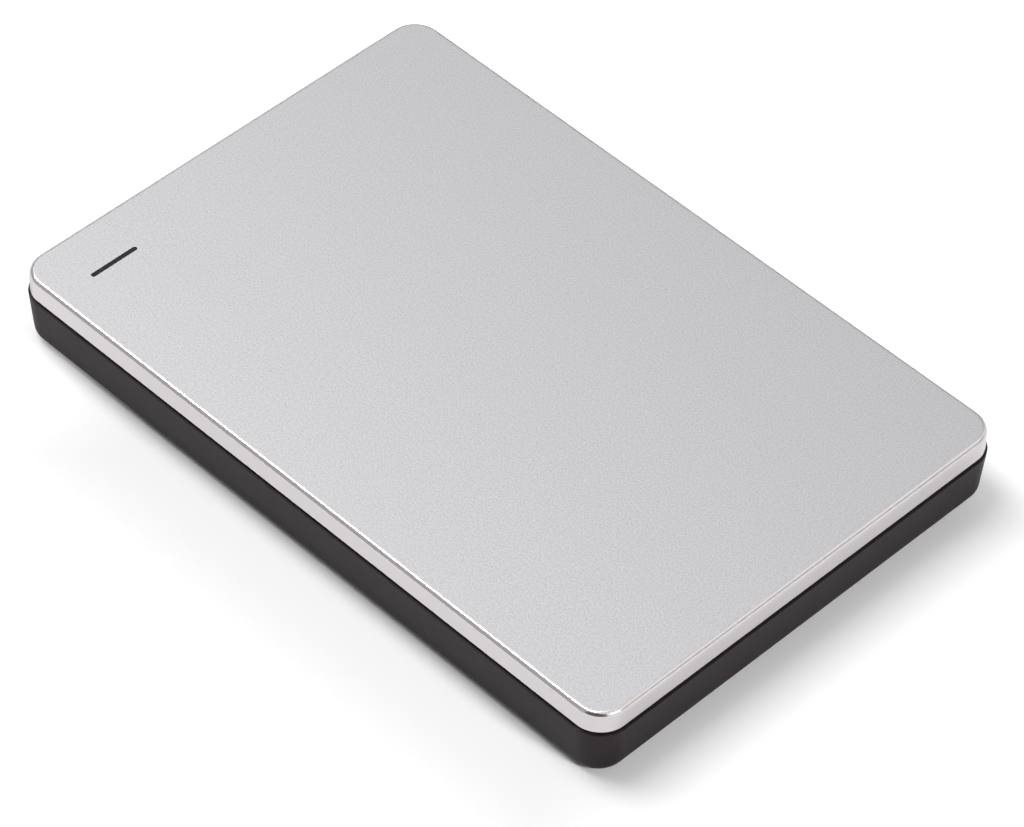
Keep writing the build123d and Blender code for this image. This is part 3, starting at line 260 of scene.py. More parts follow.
@dataclass(frozen=True)
class BlastedFinish(Finish):
    """Blasted sheet metal whose drawn edge and walls keep more of the sheet's polish than the flat. Their
    colour is painted lighter than the flat's, as painted light that brightens the walls beyond what they
    mirror.

    The normal's upward part is the first value of flat_from where the drawn edge ends, and the second
    where the flat begins.
    """

    # Painted light: the drawn edge and walls are coloured lighter than the flat, to brighten them
    edge_colour_painted_lighter: str = "#DFDADA"
    edge_roughness: float = 0.16
    flat_from: Pair = (0.955, 0.997)

    def flat(self, tree: Tree) -> Socket:
        """Tell the flat face from the surfaces that turn away from it.

        Args:
            tree: The material's node tree.

        Returns:
            The output that is 1 on the flat and 0 on the drawn edge and walls.
        """
        normal = add(tree, "NewGeometry").outputs["Normal"]
        upward = add(tree, "SeparateXYZ", {"Vector": normal}).outputs["Z"]
        span = {"Value": upward, "From Min": self.flat_from[0], "From Max": self.flat_from[1]}
        return add(tree, "MapRange", span).outputs["Result"]

    def colour(self, tree: Tree, height: Socket) -> Socket:
        """Let the drawn edge and walls be lighter than the flat: painted light, added to their real colour.
        """
        ends = {
            MIX_SHARE: self.flat(tree),
            # Painted light: the lighter colour of the drawn edge and walls
            TINT_FROM: linear(self.edge_colour_painted_lighter),
            TINT_TO: super().colour(tree, height),
        }
        return add(tree, "Mix", ends, data_type="RGBA").outputs[TINTED]

    def gloss(self, tree: Tree, height: Socket) -> Socket:
        """Let the flat be matt and the surfaces that turn away from it shinier."""
        ends = {
            MIX_SHARE: self.flat(tree),
            MIX_FROM: self.edge_roughness,
            MIX_TO: super().gloss(tree, height),
        }
        return add(tree, "Mix", ends).outputs[MIXED]


# Fine grit that scatters light evenly, with bright and dark specks: the real grit of about 0.1 mm
# is finer than a pixel, so it is drawn at 0.28 mm to show
BLASTED_ALUMINIUM = BlastedFinish(
    "sandblasted_anodised_aluminium", "#CDCCCE", "#BFBEC1", Pattern.GRIT,
    pitch=0.28, relief=0.009, roughness=(0.56, 0.66), metallic=1.0,
)
# Deep black with a faint satin grain, whose pits trap part of the mirrored light
ERODED_ABS = Finish(
    "spark_eroded_black_abs", "#1D1719", "#261F21", Pattern.GRIT,
    pitch=0.22, relief=0.006, roughness=(0.42, 0.52), ior=1.54, specular=0.175, mirror_tint="#FFEFF7",
)
# Near black and glossy, with a soft glint of the room along the slot
SMOKED_LENS = Finish(
    "smoked_polycarbonate", "#151414", "#1B1A1A", Pattern.CAST,
    pitch=1.5, relief=0.001, roughness=(0.20, 0.26), ior=1.585,
)
# Dark and matt, with the faint unevenness of a moulded skin
MOULDED_RUBBER = Finish(
    "moulded_silicone_rubber", "#2A2A2C", "#343436", Pattern.CAST,
    pitch=0.6, relief=0.01, roughness=(0.65, 0.8), ior=1.41,
)
# Dull dark grey with pinholes of cut cells about half a millimetre wide and a dusty sheen
OPEN_FOAM = Finish(
    "open_cell_polyurethane_foam", "#37373A", "#55555A", Pattern.CELLS,
    pitch=0.45, relief=0.12, roughness=(0.9, 1.0), ior=1.5, sheen=0.3,
)
# Black and nearly matt, smooth from its mould
GASKET_RUBBER = Finish(
    "moulded_fluoroelastomer", "#191919", "#222223", Pattern.CAST,
    pitch=0.4, relief=0.005, roughness=(0.6, 0.72), ior=1.38,
)
# Glossy green with lighter lanes where copper tracks run under the mask
MASKED_BOARD = Finish(
    "solder_masked_glass_epoxy", "#1B4A33", "#2F6E4C", Pattern.TRACKS,
    pitch=0.9, relief=0.02, roughness=(0.35, 0.45), ior=1.55,
)
# Charcoal and matt: the mould's fine grit of about 0.1 mm only shows close up
CHIP_EPOXY = Finish(
    "moulded_chip_epoxy", "#1F1F20", "#29292A", Pattern.GRIT,
    pitch=0.12, relief=0.004, roughness=(0.55, 0.68), ior=1.55,
)
# Bright warm grey with short grain from the rolled sheet under the plating
PLATED_STEEL = Finish(
    "nickel_plated_steel", "#C6C2BA", "#B8B4AC", Pattern.BRUSHED,
    pitch=0.08, relief=0.001, roughness=(0.20, 0.30), metallic=1.0,
)
# Clean grey with long straight grain from the rolls
ROLLED_STAINLESS = Finish(
    "rolled_stainless_steel", "#BAB9B6", "#A9A8A5", Pattern.BRUSHED,
    pitch=0.12, relief=0.002, roughness=(0.28, 0.40), metallic=1.0,
)
# Bright grey with fine rings left by the lathe
TURNED_STEEL = Finish(
    "turned_bearing_steel", "#B7B7B9", "#A6A6A9", Pattern.TURNED,
    pitch=0.15, relief=0.001, roughness=(0.18, 0.28), metallic=1.0,
)
# Pale dull grey, lightly mottled where the melt cooled against the die
CAST_ALUMINIUM = Finish(
    "die_cast_aluminium", "#B4B3B0", "#AAA9A6", Pattern.CAST,
    pitch=0.6, relief=0.008, roughness=(0.48, 0.58), metallic=1.0,
)
# Silvery with the fine grain of the sintered powder under the nickel
PLATED_MAGNET = Finish(
    "nickel_plated_sintered_magnet", "#B1AFAB", "#A4A29E", Pattern.GRIT,
    pitch=0.2, relief=0.003, roughness=(0.25, 0.36), metallic=1.0,
)
# Glossy red brown in stripes, one for each turn of wire
WOUND_COPPER = Finish(
    "enamelled_copper_wire", "#B4622E", "#8E4620", Pattern.WOUND,
    pitch=0.18, relief=0.04, roughness=(0.28, 0.40), metallic=1.0,
)
# A mirror: its texture of about a nanometre is far too fine to see
SPUTTERED_DISC = Finish(
    "sputtered_disc_coating", "#D4D4D7", "#D2D2D5", Pattern.TURNED,
    pitch=0.4, relief=0.000001, roughness=(0.03, 0.035), metallic=1.0,
)
# Black with a dull polish, its grain too fine to show
SLIDER_CERAMIC = Finish(
    "sintered_slider_ceramic", "#2A2A2C", "#333336", Pattern.GRIT,
    pitch=0.05, relief=0.001, roughness=(0.30, 0.40), ior=1.76,
)
# Black and satin, with the flow of the melt just visible
MOULDED_LCP = Finish(
    "moulded_liquid_crystal_polymer", "#171717", "#1F1F20", Pattern.CAST,
    pitch=0.3, relief=0.004, roughness=(0.45, 0.58), ior=1.65,
)
# Creamy white and waxy
MOULDED_ACETAL = Finish(
    "moulded_acetal", "#E4E0D4", "#D9D5C8", Pattern.CAST,
    pitch=0.8, relief=0.004, roughness=(0.35, 0.45), ior=1.48,
)
# Warm yellow and bright, with the grain of the stamped strip
PLATED_GOLD = Finish(
    "gold_plated_bronze", "#DDAF55", "#CC9C42", Pattern.BRUSHED,
    pitch=0.06, relief=0.001, roughness=(0.18, 0.28), metallic=1.0,
)
# Amber and glossy, striped where its conductors run
POLYIMIDE_FILM = Finish(
    "polyimide_flex_film", "#B8741F", "#9C5D14", Pattern.TRACKS,
    pitch=0.35, relief=0.004, roughness=(0.25, 0.35), ior=1.7,
)
# Milky and glossy, like a drop of clear resin
LED_RESIN = Finish(
    "cast_led_resin", "#EAE7DA", "#E0DDCF", Pattern.CAST,
    pitch=0.5, relief=0.002, roughness=(0.18, 0.26), ior=1.5,
)

FINISH_OF_SLOT = {
    "cover_aluminium": BLASTED_ALUMINIUM,
    "base_plastic": ERODED_ABS,
    "lens": SMOKED_LENS,
    "rubber": MOULDED_RUBBER,
    "foam": OPEN_FOAM,
    "gasket": GASKET_RUBBER,
    "circuit_board": MASKED_BOARD,
    "chip_epoxy": CHIP_EPOXY,
    "plated_steel": PLATED_STEEL,
    "stainless_sheet": ROLLED_STAINLESS,
    "bearing_steel": TURNED_STEEL,
    "cast_aluminium": CAST_ALUMINIUM,
    "magnet": PLATED_MAGNET,
    "copper_wire": WOUND_COPPER,
    "disc_coating": SPUTTERED_DISC,
    "slider_ceramic": SLIDER_CERAMIC,
    "connector_plastic": MOULDED_LCP,
    "ramp_plastic": MOULDED_ACETAL,
    "contact_gold": PLATED_GOLD,
    "flex_film": POLYIMIDE_FILM,
    "led_resin": LED_RESIN,
}


@dataclass
class Workpiece:
    """A mesh on the bench, shaped with edit-mode operators from a plate. Sizes are in millimetres."""

    name: str
    obj: bpy.types.Object = field(init=False)

    def plate(
        self, centre: Triple, width: float, length: float, corner: float = 0.0, segments: int = 1
    ) -> None:
        """Add a flat plate and leave it in edit mode, all selected.

        Args:
            centre: Middle of the plate.
            width: Size along X.
            length: Size along Y.
            corner: Radius of the corners, or 0 for sharp ones.
            segments: Edges in each rounded corner.
        """
        if bpy.context.mode != "OBJECT":
            bpy.ops.object.mode_set(mode="OBJECT")
        bpy.ops.object.select_all(action="DESELECT")
        bpy.ops.mesh.primitive_plane_add(size=MM, location=[c * MM for c in centre])
        self.obj = bpy.context.object
        self.obj.name = self.obj.data.name = self.name
        self.obj.scale = (width, length, 1)
        bpy.ops.object.transform_apply(location=True, rotation=True, scale=True)
        bpy.ops.object.mode_set(mode="EDIT")
        bpy.ops.mesh.select_all(action="SELECT")
        if corner:
            bpy.ops.mesh.bevel(offset=corner * MM, segments=segments, affect="VERTICES")
            bpy.ops.mesh.select_all(action="SELECT")

    def flip(self) -> None:
        """Turn the selected faces over."""
        bpy.ops.mesh.flip_normals()

    def drawn(self, draft: float, depth: float) -> None:
        """Draw the selected face along its normal, with walls that lean in by the draft, in degrees."""
        lean = math.tan(math.radians(draft)) * depth
        bpy.ops.mesh.inset(thickness=lean * MM, depth=depth * MM, use_boundary=True, use_even_offset=True)

    def raised(self, height: float) -> None:
        """Extrude the selected face upwards."""
        bpy.ops.mesh.extrude_region_move(TRANSFORM_OT_translate={"value": (0, 0, height * MM)})

    def pick_edges(self, wanted: Callable[[Vector, Vector], bool]) -> None:
        """Select only the edges whose two ends pass a test.

        Args:
            wanted: The test of an edge's two ends, in millimetres.
        """
        bpy.ops.mesh.select_all(action="DESELECT")
        bpy.ops.mesh.select_mode(type="EDGE")
        shape = bmesh.from_edit_mesh(self.obj.data)
        for edge in shape.edges:
            ends = [v.co / MM for v in edge.verts]
            if wanted(*ends):
                edge.select_set(True)
        bmesh.update_edit_mesh(self.obj.data)

    def rounded(self, offset: float, segments: int) -> None:
        """Round the selected edges."""
        bpy.ops.mesh.bevel(offset=offset * MM, segments=segments, affect="EDGES", clamp_overlap=True)

    def outward(self) -> None:
        """Turn all faces of the closed shape outwards."""
        bpy.ops.mesh.select_all(action="SELECT")
        bpy.ops.mesh.normals_make_consistent(inside=False)

    def off_bench(self) -> None:
        """Go back to object mode with this piece the active one."""
        bpy.ops.object.mode_set(mode="OBJECT")
        bpy.ops.object.select_all(action="DESELECT")
        self.obj.select_set(True)
        bpy.context.view_layer.objects.active = self.obj

    def back_on_bench(self) -> None:
        """Take this piece into edit mode again."""
        self.off_bench()
        bpy.ops.object.mode_set(mode="EDIT")

    def modified(self, kind: str, **settings: object) -> None:
        """Put a modifier on the piece and apply it.

        Args:
            kind: The modifier's type.
            settings: Properties of the modifier.
        """
        modifier = self.obj.modifiers.new(kind.lower(), kind)
        for name, value in settings.items():
            setattr(modifier, name, value)
        bpy.ops.object.modifier_apply(modifier=modifier.name)

    def walled(self, thickness: float) -> None:
        """Give the drawn surface a wall on its inner side and go on in edit mode.

        Args:
            thickness: Thickness of the wall.
        """
        self.off_bench()
        self.modified("SOLIDIFY", thickness=thickness * MM, offset=-1.0, use_even_offset=True)
        self.back_on_bench()

    def cut_by(self, cutter: "Workpiece") -> None:
        """Cut another piece's volume out of this one and throw the cutter away.

        Args:
            cutter: The piece whose volume is cut out.
        """
        self.off_bench()
        self.modified("BOOLEAN", object=cutter.obj, operation="DIFFERENCE", solver="EXACT")
        bpy.data.objects.remove(cutter.obj)

    def hand_over(self, body: str, slot: str, *nodes: str, smooth: float = 40.0) -> bpy.types.Object:
        """Smooth and dress the finished piece and set it on its body.

        Args:
            body: The CAD body that it moves with.
            slot: The record's material slot, which gives its finish.
            nodes: The CAD nodes that it stands for.
            smooth: Edges under this many degrees are shaded smooth.

        Returns:
            The finished object.
        """
        self.off_bench()
        bpy.ops.object.shade_smooth_by_angle(angle=math.radians(smooth))
        self.modified("WEIGHTED_NORMAL", keep_sharp=True)
        self.obj.data.materials.clear()
        self.obj.data.materials.append(FINISH_OF_SLOT[slot].material())
        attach(self.obj, body)
        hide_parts(*nodes)
        log.info("%s: %d faces, rides on %s", self.name, len(self.obj.data.polygons), body)
        return self.obj


@dataclass
class Cover:
    """The drawn aluminium cover with its light slot. Sizes are in millimetres, the draft is in degrees."""

    corner: float = 4.35
    sheet: float = 0.8
    draft: float = 1.5
    edge: float = 0.75
    lower_edge: float = 0.2
    slot_at: Pair = (-27.3, 48.04)
    slot_length: float = 8.2
    slot_width: float = 0.75
    slot_edge: float = 0.05
    corner_segments: int = 24
    edge_segments: int = 8
    lower_edge_segments: int = 3
    slot_segments: int = 10
    slot_edge_segments: int = 2

    def build(self) -> None:
        """Draw the tray from a plate, round its edges, give it its sheet and cut the slot."""
        low, high = (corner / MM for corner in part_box("top_cover"))
        size = high - low
        shell = Workpiece("cover_shell")
        shell.plate((0, 0, low.z), size.x, size.y, self.corner, self.corner_segments)
        shell.drawn(self.draft, size.z)
        shell.pick_edges(lambda a, b: min(a.z, b.z) > high.z - TOUCH)
        shell.rounded(fillet_run(self.edge, self.draft), self.edge_segments)
        shell.walled(self.sheet)
        shell.pick_edges(lambda a, b: self.on_lower_edge(a, low, size) and self.on_lower_edge(b, low, size))
        shell.rounded(self.lower_edge, self.lower_edge_segments)
        shell.cut_by(self.punch(high.z))
        shell.back_on_bench()
        shell.pick_edges(lambda a, b: self.on_slot(a, high.z) and self.on_slot(b, high.z))
        shell.rounded(self.slot_edge, self.slot_edge_segments)
        shell.hand_over("case", "cover_aluminium", "top_cover")

    def on_lower_edge(self, point: Vector, low: Vector, size: Vector) -> bool:
        """Tell whether a point lies on the outer rim at the cover's lower edge."""
        return point.z < low.z + TOUCH and inside_outline(point, size, self.corner) < self.sheet / 2

    def on_slot(self, point: Vector, top: float) -> bool:
        """Tell whether a point lies on the slot's upper rim.

        Args:
            point: The point.
            top: Height of the cover's face.

        Returns:
            Whether it lies there.
        """
        across = abs(point.x - self.slot_at[0]) < self.slot_length / 2 + TOUCH
        along = abs(point.y - self.slot_at[1]) < self.slot_width / 2 + TOUCH
        return point.z > top - TOUCH and across and along

    def punch(self, top: float) -> Workpiece:
        """Make the punch that cuts the slot, which reaches past both faces of the sheet.

        Args:
            top: Height of the cover's face.

        Returns:
            The punch.
        """
        tool = Workpiece("slot_punch")
        below = top - 2 * self.sheet
        # A hair short of a full round, so that the two corners of an end stay apart
        corner = self.slot_width / 2 - TOUCH / 10
        tool.plate((*self.slot_at, below), self.slot_length, self.slot_width, corner, self.slot_segments)
        tool.raised(3 * self.sheet)
        tool.outward()
        tool.off_bench()
        return tool


@dataclass
class Base:
    """The moulded base with its rounded bottom edge and the opening for the socket.

    Sizes are in millimetres, the draft is in degrees.
    """

    corner: float = 4.6
    wall: float = 1.5
    draft: float = 4.6
    edge: float = 2.0
    rim_edge: float = 0.05
    clearance: float = 0.3
    wide_lobe: float = 7.2
    narrow_lobe: float = 4.2
    narrow_drop: float = 0.3
    neck_height: float = 1.5
    neck_overlap: float = 1.0
    wide_chamfer: float = 0.8
    narrow_chamfer: float = 0.5
    corner_segments: int = 24
    edge_segments: int = 10
    rim_segments: int = 3

    def build(self) -> None:
        """Draw the tray downwards from its rim, round its bottom, give it its wall and open the port."""
        low, high = (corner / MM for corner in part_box("base_shell"))
        size = high - low
        shell = Workpiece("base_tray")
        shell.plate((0, 0, high.z), size.x, size.y, self.corner, self.corner_segments)
        shell.flip()
        shell.drawn(self.draft, size.z)
        shell.pick_edges(lambda a, b: max(a.z, b.z) < low.z + TOUCH)
        shell.rounded(fillet_run(self.edge, self.draft), self.edge_segments)
        shell.walled(self.wall)
        shell.pick_edges(lambda a, b: self.on_rim(a, high, size) and self.on_rim(b, high, size))
        shell.rounded(self.rim_edge, self.rim_segments)
        for cutter in self.port_cutters():
            shell.cut_by(cutter)
        shell.hand_over("case", "base_plastic", "base_shell")

    def on_rim(self, point: Vector, high: Vector, size: Vector) -> bool:
        """Tell whether a point lies on the outer edge of the rim."""
        return point.z > high.z - TOUCH and inside_outline(point, size, self.corner) < self.wall / 2

    def port_cutters(self) -> Iterator[Workpiece]:
        """Make the three cutters of the port: the wide lobe, the narrow lobe and the neck between them.

        Returns:
            The cutters, which reach through the end wall.
        """
        low, high = (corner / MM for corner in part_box("usb_shell"))
        left, right = high.x + self.clearance, low.x - self.clearance
        top, bottom = high.z + self.clearance, low.z - self.clearance
        narrow_top = top - self.narrow_drop
        neck_low = high.z - self.narrow_drop - self.neck_height - self.clearance
        wide_end = high.x - self.wide_lobe - self.clearance
        narrow_end = low.x + self.narrow_lobe + self.clearance
        neck_from, neck_to = narrow_end - self.neck_overlap, wide_end + self.neck_overlap
        yield self.cutter("wide_lobe", wide_end, left, bottom, top, self.wide_chamfer)
        yield self.cutter("narrow_lobe", right, narrow_end, bottom, narrow_top, self.narrow_chamfer)
        yield self.cutter("neck", neck_from, neck_to, neck_low, narrow_top)

    def cutter(
        self, name: str, x0: float, x1: float, z0: float, z1: float, chamfer: float = 0.0
    ) -> Workpiece:
        """Make one block that cuts through the end wall.

        Args:
            name: What it cuts.
            x0: Its lower end along X.
            x1: Its higher end along X.
            z0: Its bottom.
            z1: Its top.
            chamfer: Size of the chamfers on its two lower edges.

        Returns:
            The cutter.
        """
        low, high = (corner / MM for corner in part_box("usb_shell"))
        tool = Workpiece(name)
        start, end = low.y, high.y + 2 * self.wall
        tool.plate(((x0 + x1) / 2, (start + end) / 2, z0), x1 - x0, end - start)
        tool.raised(z1 - z0)
        tool.outward()
        if chamfer:
            tool.pick_edges(lambda a, b: max(a.z, b.z) < z0 + TOUCH and abs(a.x - b.x) < TOUCH)
            tool.rounded(chamfer, 1)
        tool.off_bench()
        return tool


@dataclass
class InnerPieces:
    """The drive, its boards and the cushions inside the case.

    Sizes are in millimetres. The ribbon starts at flex_reach from the pivot's axis, flex_turn degrees
    from +X, ends at flex_gap from its bracket and bows out from the straight line by flex_bulge.
    """

    spindle: Pair = (0.0, -18.66)
    pivot: Pair = (10.0, 23.04)
    pad_corner: float = 1.0
    pad_edge: float = 0.35
    pad_bulge: float = 0.25
    pad_smooth: float = 60.0
    pad_corner_segments: int = 6
    pad_edge_segments: int = 4
    flex_reach: float = 5.3
    flex_turn: float = -59.6985
    flex_gap: float = 0.05
    flex_bulge: float = 2.5
    flex_thickness: float = 0.12
    flex_steps: int = 32

    def build(self) -> None:
        """Make the pieces that bend or give, and dress every CAD node."""
        self.foam_pad()
        self.flex_ribbon()
        self.dress_nodes()

    def dress_nodes(self) -> None:
        """Give each CAD node the finish of its slot, with lathe rings centred on its own shaft."""
        for row in frame["record"]["subparts"]:
            node = frame["nodes"][row["node"]]
            finish = FINISH_OF_SLOT[row["material_slot"]]
            if finish.pattern is Pattern.TURNED:
                low, high = (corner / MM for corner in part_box(row["node"]))
                middle = (low + high) / 2
                by_pivot = math.dist(middle.xy, self.pivot) < math.dist(middle.xy, self.spindle)
                shaft, where = (self.pivot, "pivot") if by_pivot else (self.spindle, "spindle")
                finish = replace(finish, name=f"{finish.name}_{where}", axis=shaft)
            for place in node.material_slots:
                place.material = finish.material()
            log.info("%s: %s", row["node"], finish.name)

    def foam_pad(self) -> None:
        """Make the foam pad: flat where it is pressed, with sides that swell between its rounded edges."""
        low, high = (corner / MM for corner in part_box("foam_pad"))
        size = high - low
        half = size.z / 2
        width, length = (side - 2 * self.pad_bulge for side in (size.x, size.y))
        swell = (1 + 2 * self.pad_bulge / width, 1 + 2 * self.pad_bulge / length, 1.0)
        under = ((low.x + high.x) / 2, (low.y + high.y) / 2, low.z)
        pad = Workpiece("foam_cushion")
        pad.plate(under, width, length, self.pad_corner, self.pad_corner_segments)
        pad.flip()
        pad.raised(half)
        bpy.ops.transform.resize(value=swell)
        pad.raised(half)
        bpy.ops.transform.resize(value=[1 / share for share in swell])
        pad.outward()
        levels = (low.z, high.z)
        pad.pick_edges(lambda a, b: abs(a.z - b.z) < TOUCH and min(abs(a.z - z) for z in levels) < TOUCH)
        pad.rounded(self.pad_edge, self.pad_edge_segments)
        cushion = pad.hand_over("case", "foam", "foam_pad", smooth=self.pad_smooth)

    def flex_route(self) -> tuple[Vector, Vector, Vector]:
        """Lay the ribbon's bend from the arm block to the bracket.

        Returns:
            Its start, middle and end, seen from above.
        """
        turn = math.radians(self.flex_turn)
        start = Vector((*self.pivot, 0.0)) + self.flex_reach * Vector((math.cos(turn), math.sin(turn), 0.0))
        low, high = (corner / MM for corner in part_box("flex_bracket"))
        end = Vector((low.x - self.flex_gap, (low.y + high.y) / 2, 0.0))
        run = (end - start).normalized()
        middle = (start + end) / 2 + self.flex_bulge * Vector((run.y, -run.x, 0.0))
        return start, middle, end

    def flex_ribbon(self) -> None:
        """Make the flex ribbon by spinning its section round its bend."""
        low, high = (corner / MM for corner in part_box("flex_cable"))
        start, middle, end = self.flex_route()
        centre = self.circle_centre(start, middle, end)
        radius = (start - centre).length
        turn = (start - centre).xy.angle_signed((end - centre).xy)
        outward = (start - centre).normalized()
        level = (low.z + high.z) / 2
        ribbon = Workpiece("flex_ribbon")
        ribbon.plate((0, 0, 0), self.flex_thickness, high.z - low.z)
        ribbon.off_bench()
        ribbon.obj.matrix_world = Matrix((
            (outward.x, 0, outward.y, (centre.x + outward.x * radius) * MM),
            (outward.y, 0, -outward.x, (centre.y + outward.y * radius) * MM),
            (0, 1, 0, level * MM),
            (0, 0, 0, 1),
        ))
        bpy.ops.object.transform_apply(location=True, rotation=True, scale=True)
        ribbon.back_on_bench()
        bpy.ops.mesh.select_all(action="SELECT")
        bpy.ops.mesh.spin(steps=self.flex_steps, angle=turn, center=centre * MM, axis=(0, 0, 1))
        bpy.ops.mesh.select_all(action="SELECT")
        bpy.ops.mesh.remove_doubles(threshold=WELD)
        ribbon.outward()
        ribbon.off_bench()
        ribbon.obj.data.materials.clear()
        ribbon.obj.data.materials.append(POLYIMIDE_FILM.material())
        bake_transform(ribbon.obj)
        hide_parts("flex_cable")
        log.info("flex_ribbon: bends between case and actuator")

    @staticmethod
    def circle_centre(a: Vector, b: Vector, c: Vector) -> Vector:
        """Find the centre of the circle through three points.

        Args:
            a: First point.
            b: Second point.
            c: Third point.

        Returns:
            The centre, in the points' plane.
        """
        twice = 2 * (a.x * (b.y - c.y) + b.x * (c.y - a.y) + c.x * (a.y - b.y))
        aa, bb, cc = (p.x * p.x + p.y * p.y for p in (a, b, c))
        x = (aa * (b.y - c.y) + bb * (c.y - a.y) + cc * (a.y - b.y)) / twice
        y = (aa * (c.x - b.x) + bb * (a.x - c.x) + cc * (b.x - a.x)) / twice
        return Vector((x, y, 0.0))


class Takers(Enum):
    """Which surfaces take a lamp's light."""

    MATT = "matt surfaces, which it lights"
    SHINY = "shiny surfaces, which mirror it"


@dataclass(frozen=True)
class Softbox:
    """A lamp behind a white sheet, hung so that it faces the object.

    Its place and size are in metres, its power is in watts.
    """

    name: str
    place: Triple
    size: Pair
    power: float
    takers: Takers

    def hang(self) -> None:
        """Hang the lamp in its place."""
        lamp = bpy.data.lights.new(self.name, "AREA")
        lamp.shape = "RECTANGLE"
        lamp.size, lamp.size_y = self.size
        lamp.energy = self.power
        hung = bpy.data.objects.new(self.name, lamp)
        hung.location = self.place
        hung.rotation_euler = (-Vector(self.place)).to_track_quat("-Z", "Y").to_euler()
        hung.visible_diffuse = self.takers is Takers.MATT
        hung.visible_glossy = self.takers is Takers.SHINY
        bpy.context.scene.collection.objects.link(hung)


@dataclass(frozen=True)
class Card:
    """An upright card that only shiny surfaces show, as they mirror it.

    Sizes are in metres. The azimuth is in degrees from +X towards +Y, the heights are those of the lower and
    the upper edge, and a strength of 1 shows the colour as it is written.
    """

    name: str
    azimuth: float
    away: float
    width: float
    heights: Pair
    colour: str
    strength: float = 1.0

    def stand(self) -> None:
        """Stand the card in its place, facing the object."""
        card = Workpiece(self.name)
        low, high = self.heights
        card.plate((0, 0, 0), self.width / MM, (high - low) / MM)
        card.off_bench()
        turn = math.radians(self.azimuth)
        out = Vector((math.cos(turn), math.sin(turn), 0.0))
        card.obj.matrix_world = Matrix((
            (-out.y, 0, -out.x, out.x * self.away),
            (out.x, 0, -out.y, out.y * self.away),
            (0, 1, 0, (low + high) / 2),
            (0, 0, 0, 1),
        ))
        bpy.ops.object.transform_apply(location=True, rotation=True, scale=True)
        paint = bpy.data.materials.new(self.name)
        paint.use_nodes = True
        tree = paint.node_tree
        tree.nodes.clear()
        glow = add(tree, "Emission", {"Color": linear(self.colour), "Strength": self.strength}).outputs[0]
        add(tree, "OutputMaterial", {"Surface": glow})
        card.obj.data.materials.append(paint)
        card.obj.visible_camera = card.obj.visible_diffuse = card.obj.visible_shadow = False
        card.obj.visible_transmission = card.obj.visible_volume_scatter = False


# A narrow strip that draws the bright line along the cover's long edge
KEY_STRIP = Softbox("key_strip", (-0.045, 0.375, 0.80), (0.13, 0.70), 5.2, Takers.SHINY)
# The main light, from above and behind, which leaves the soft shadow in front
KEY_SOFTBOX = Softbox("key_softbox", (-0.13, 0.375, 0.80), (0.40, 0.70), 5.2, Takers.MATT)
# Light from the near end, which opens the shadow on the near short wall
FRONT_SOFTBOX = Softbox("front_softbox", (0.0, -0.80, 0.56), (0.16, 0.30), 5.3, Takers.MATT)

# The dark side of the room, which darkens the edge round the near corner
CAMERA_CARD = Card("camera_card", 211.0, 1.4, 1.80, (0.0, 2.6), "#626264")
# A thin grey line along the near short edge
SIDE_CARD = Card("side_card", 309.0, 1.0, 1.00, (0.20, 0.54), "#BEBEC0")
# The bright line just above it
RIM_CARD = Card("rim_card", 322.0, 1.0, 0.80, (0.86, 1.22), "#FFFFFF", 1.15)
# The glint at the near corner, where the short edge begins
FRONT_CARD = Card("front_card", 272.0, 0.8, 0.40, (0.36, 0.86), "#FFFFFF", 4.5)


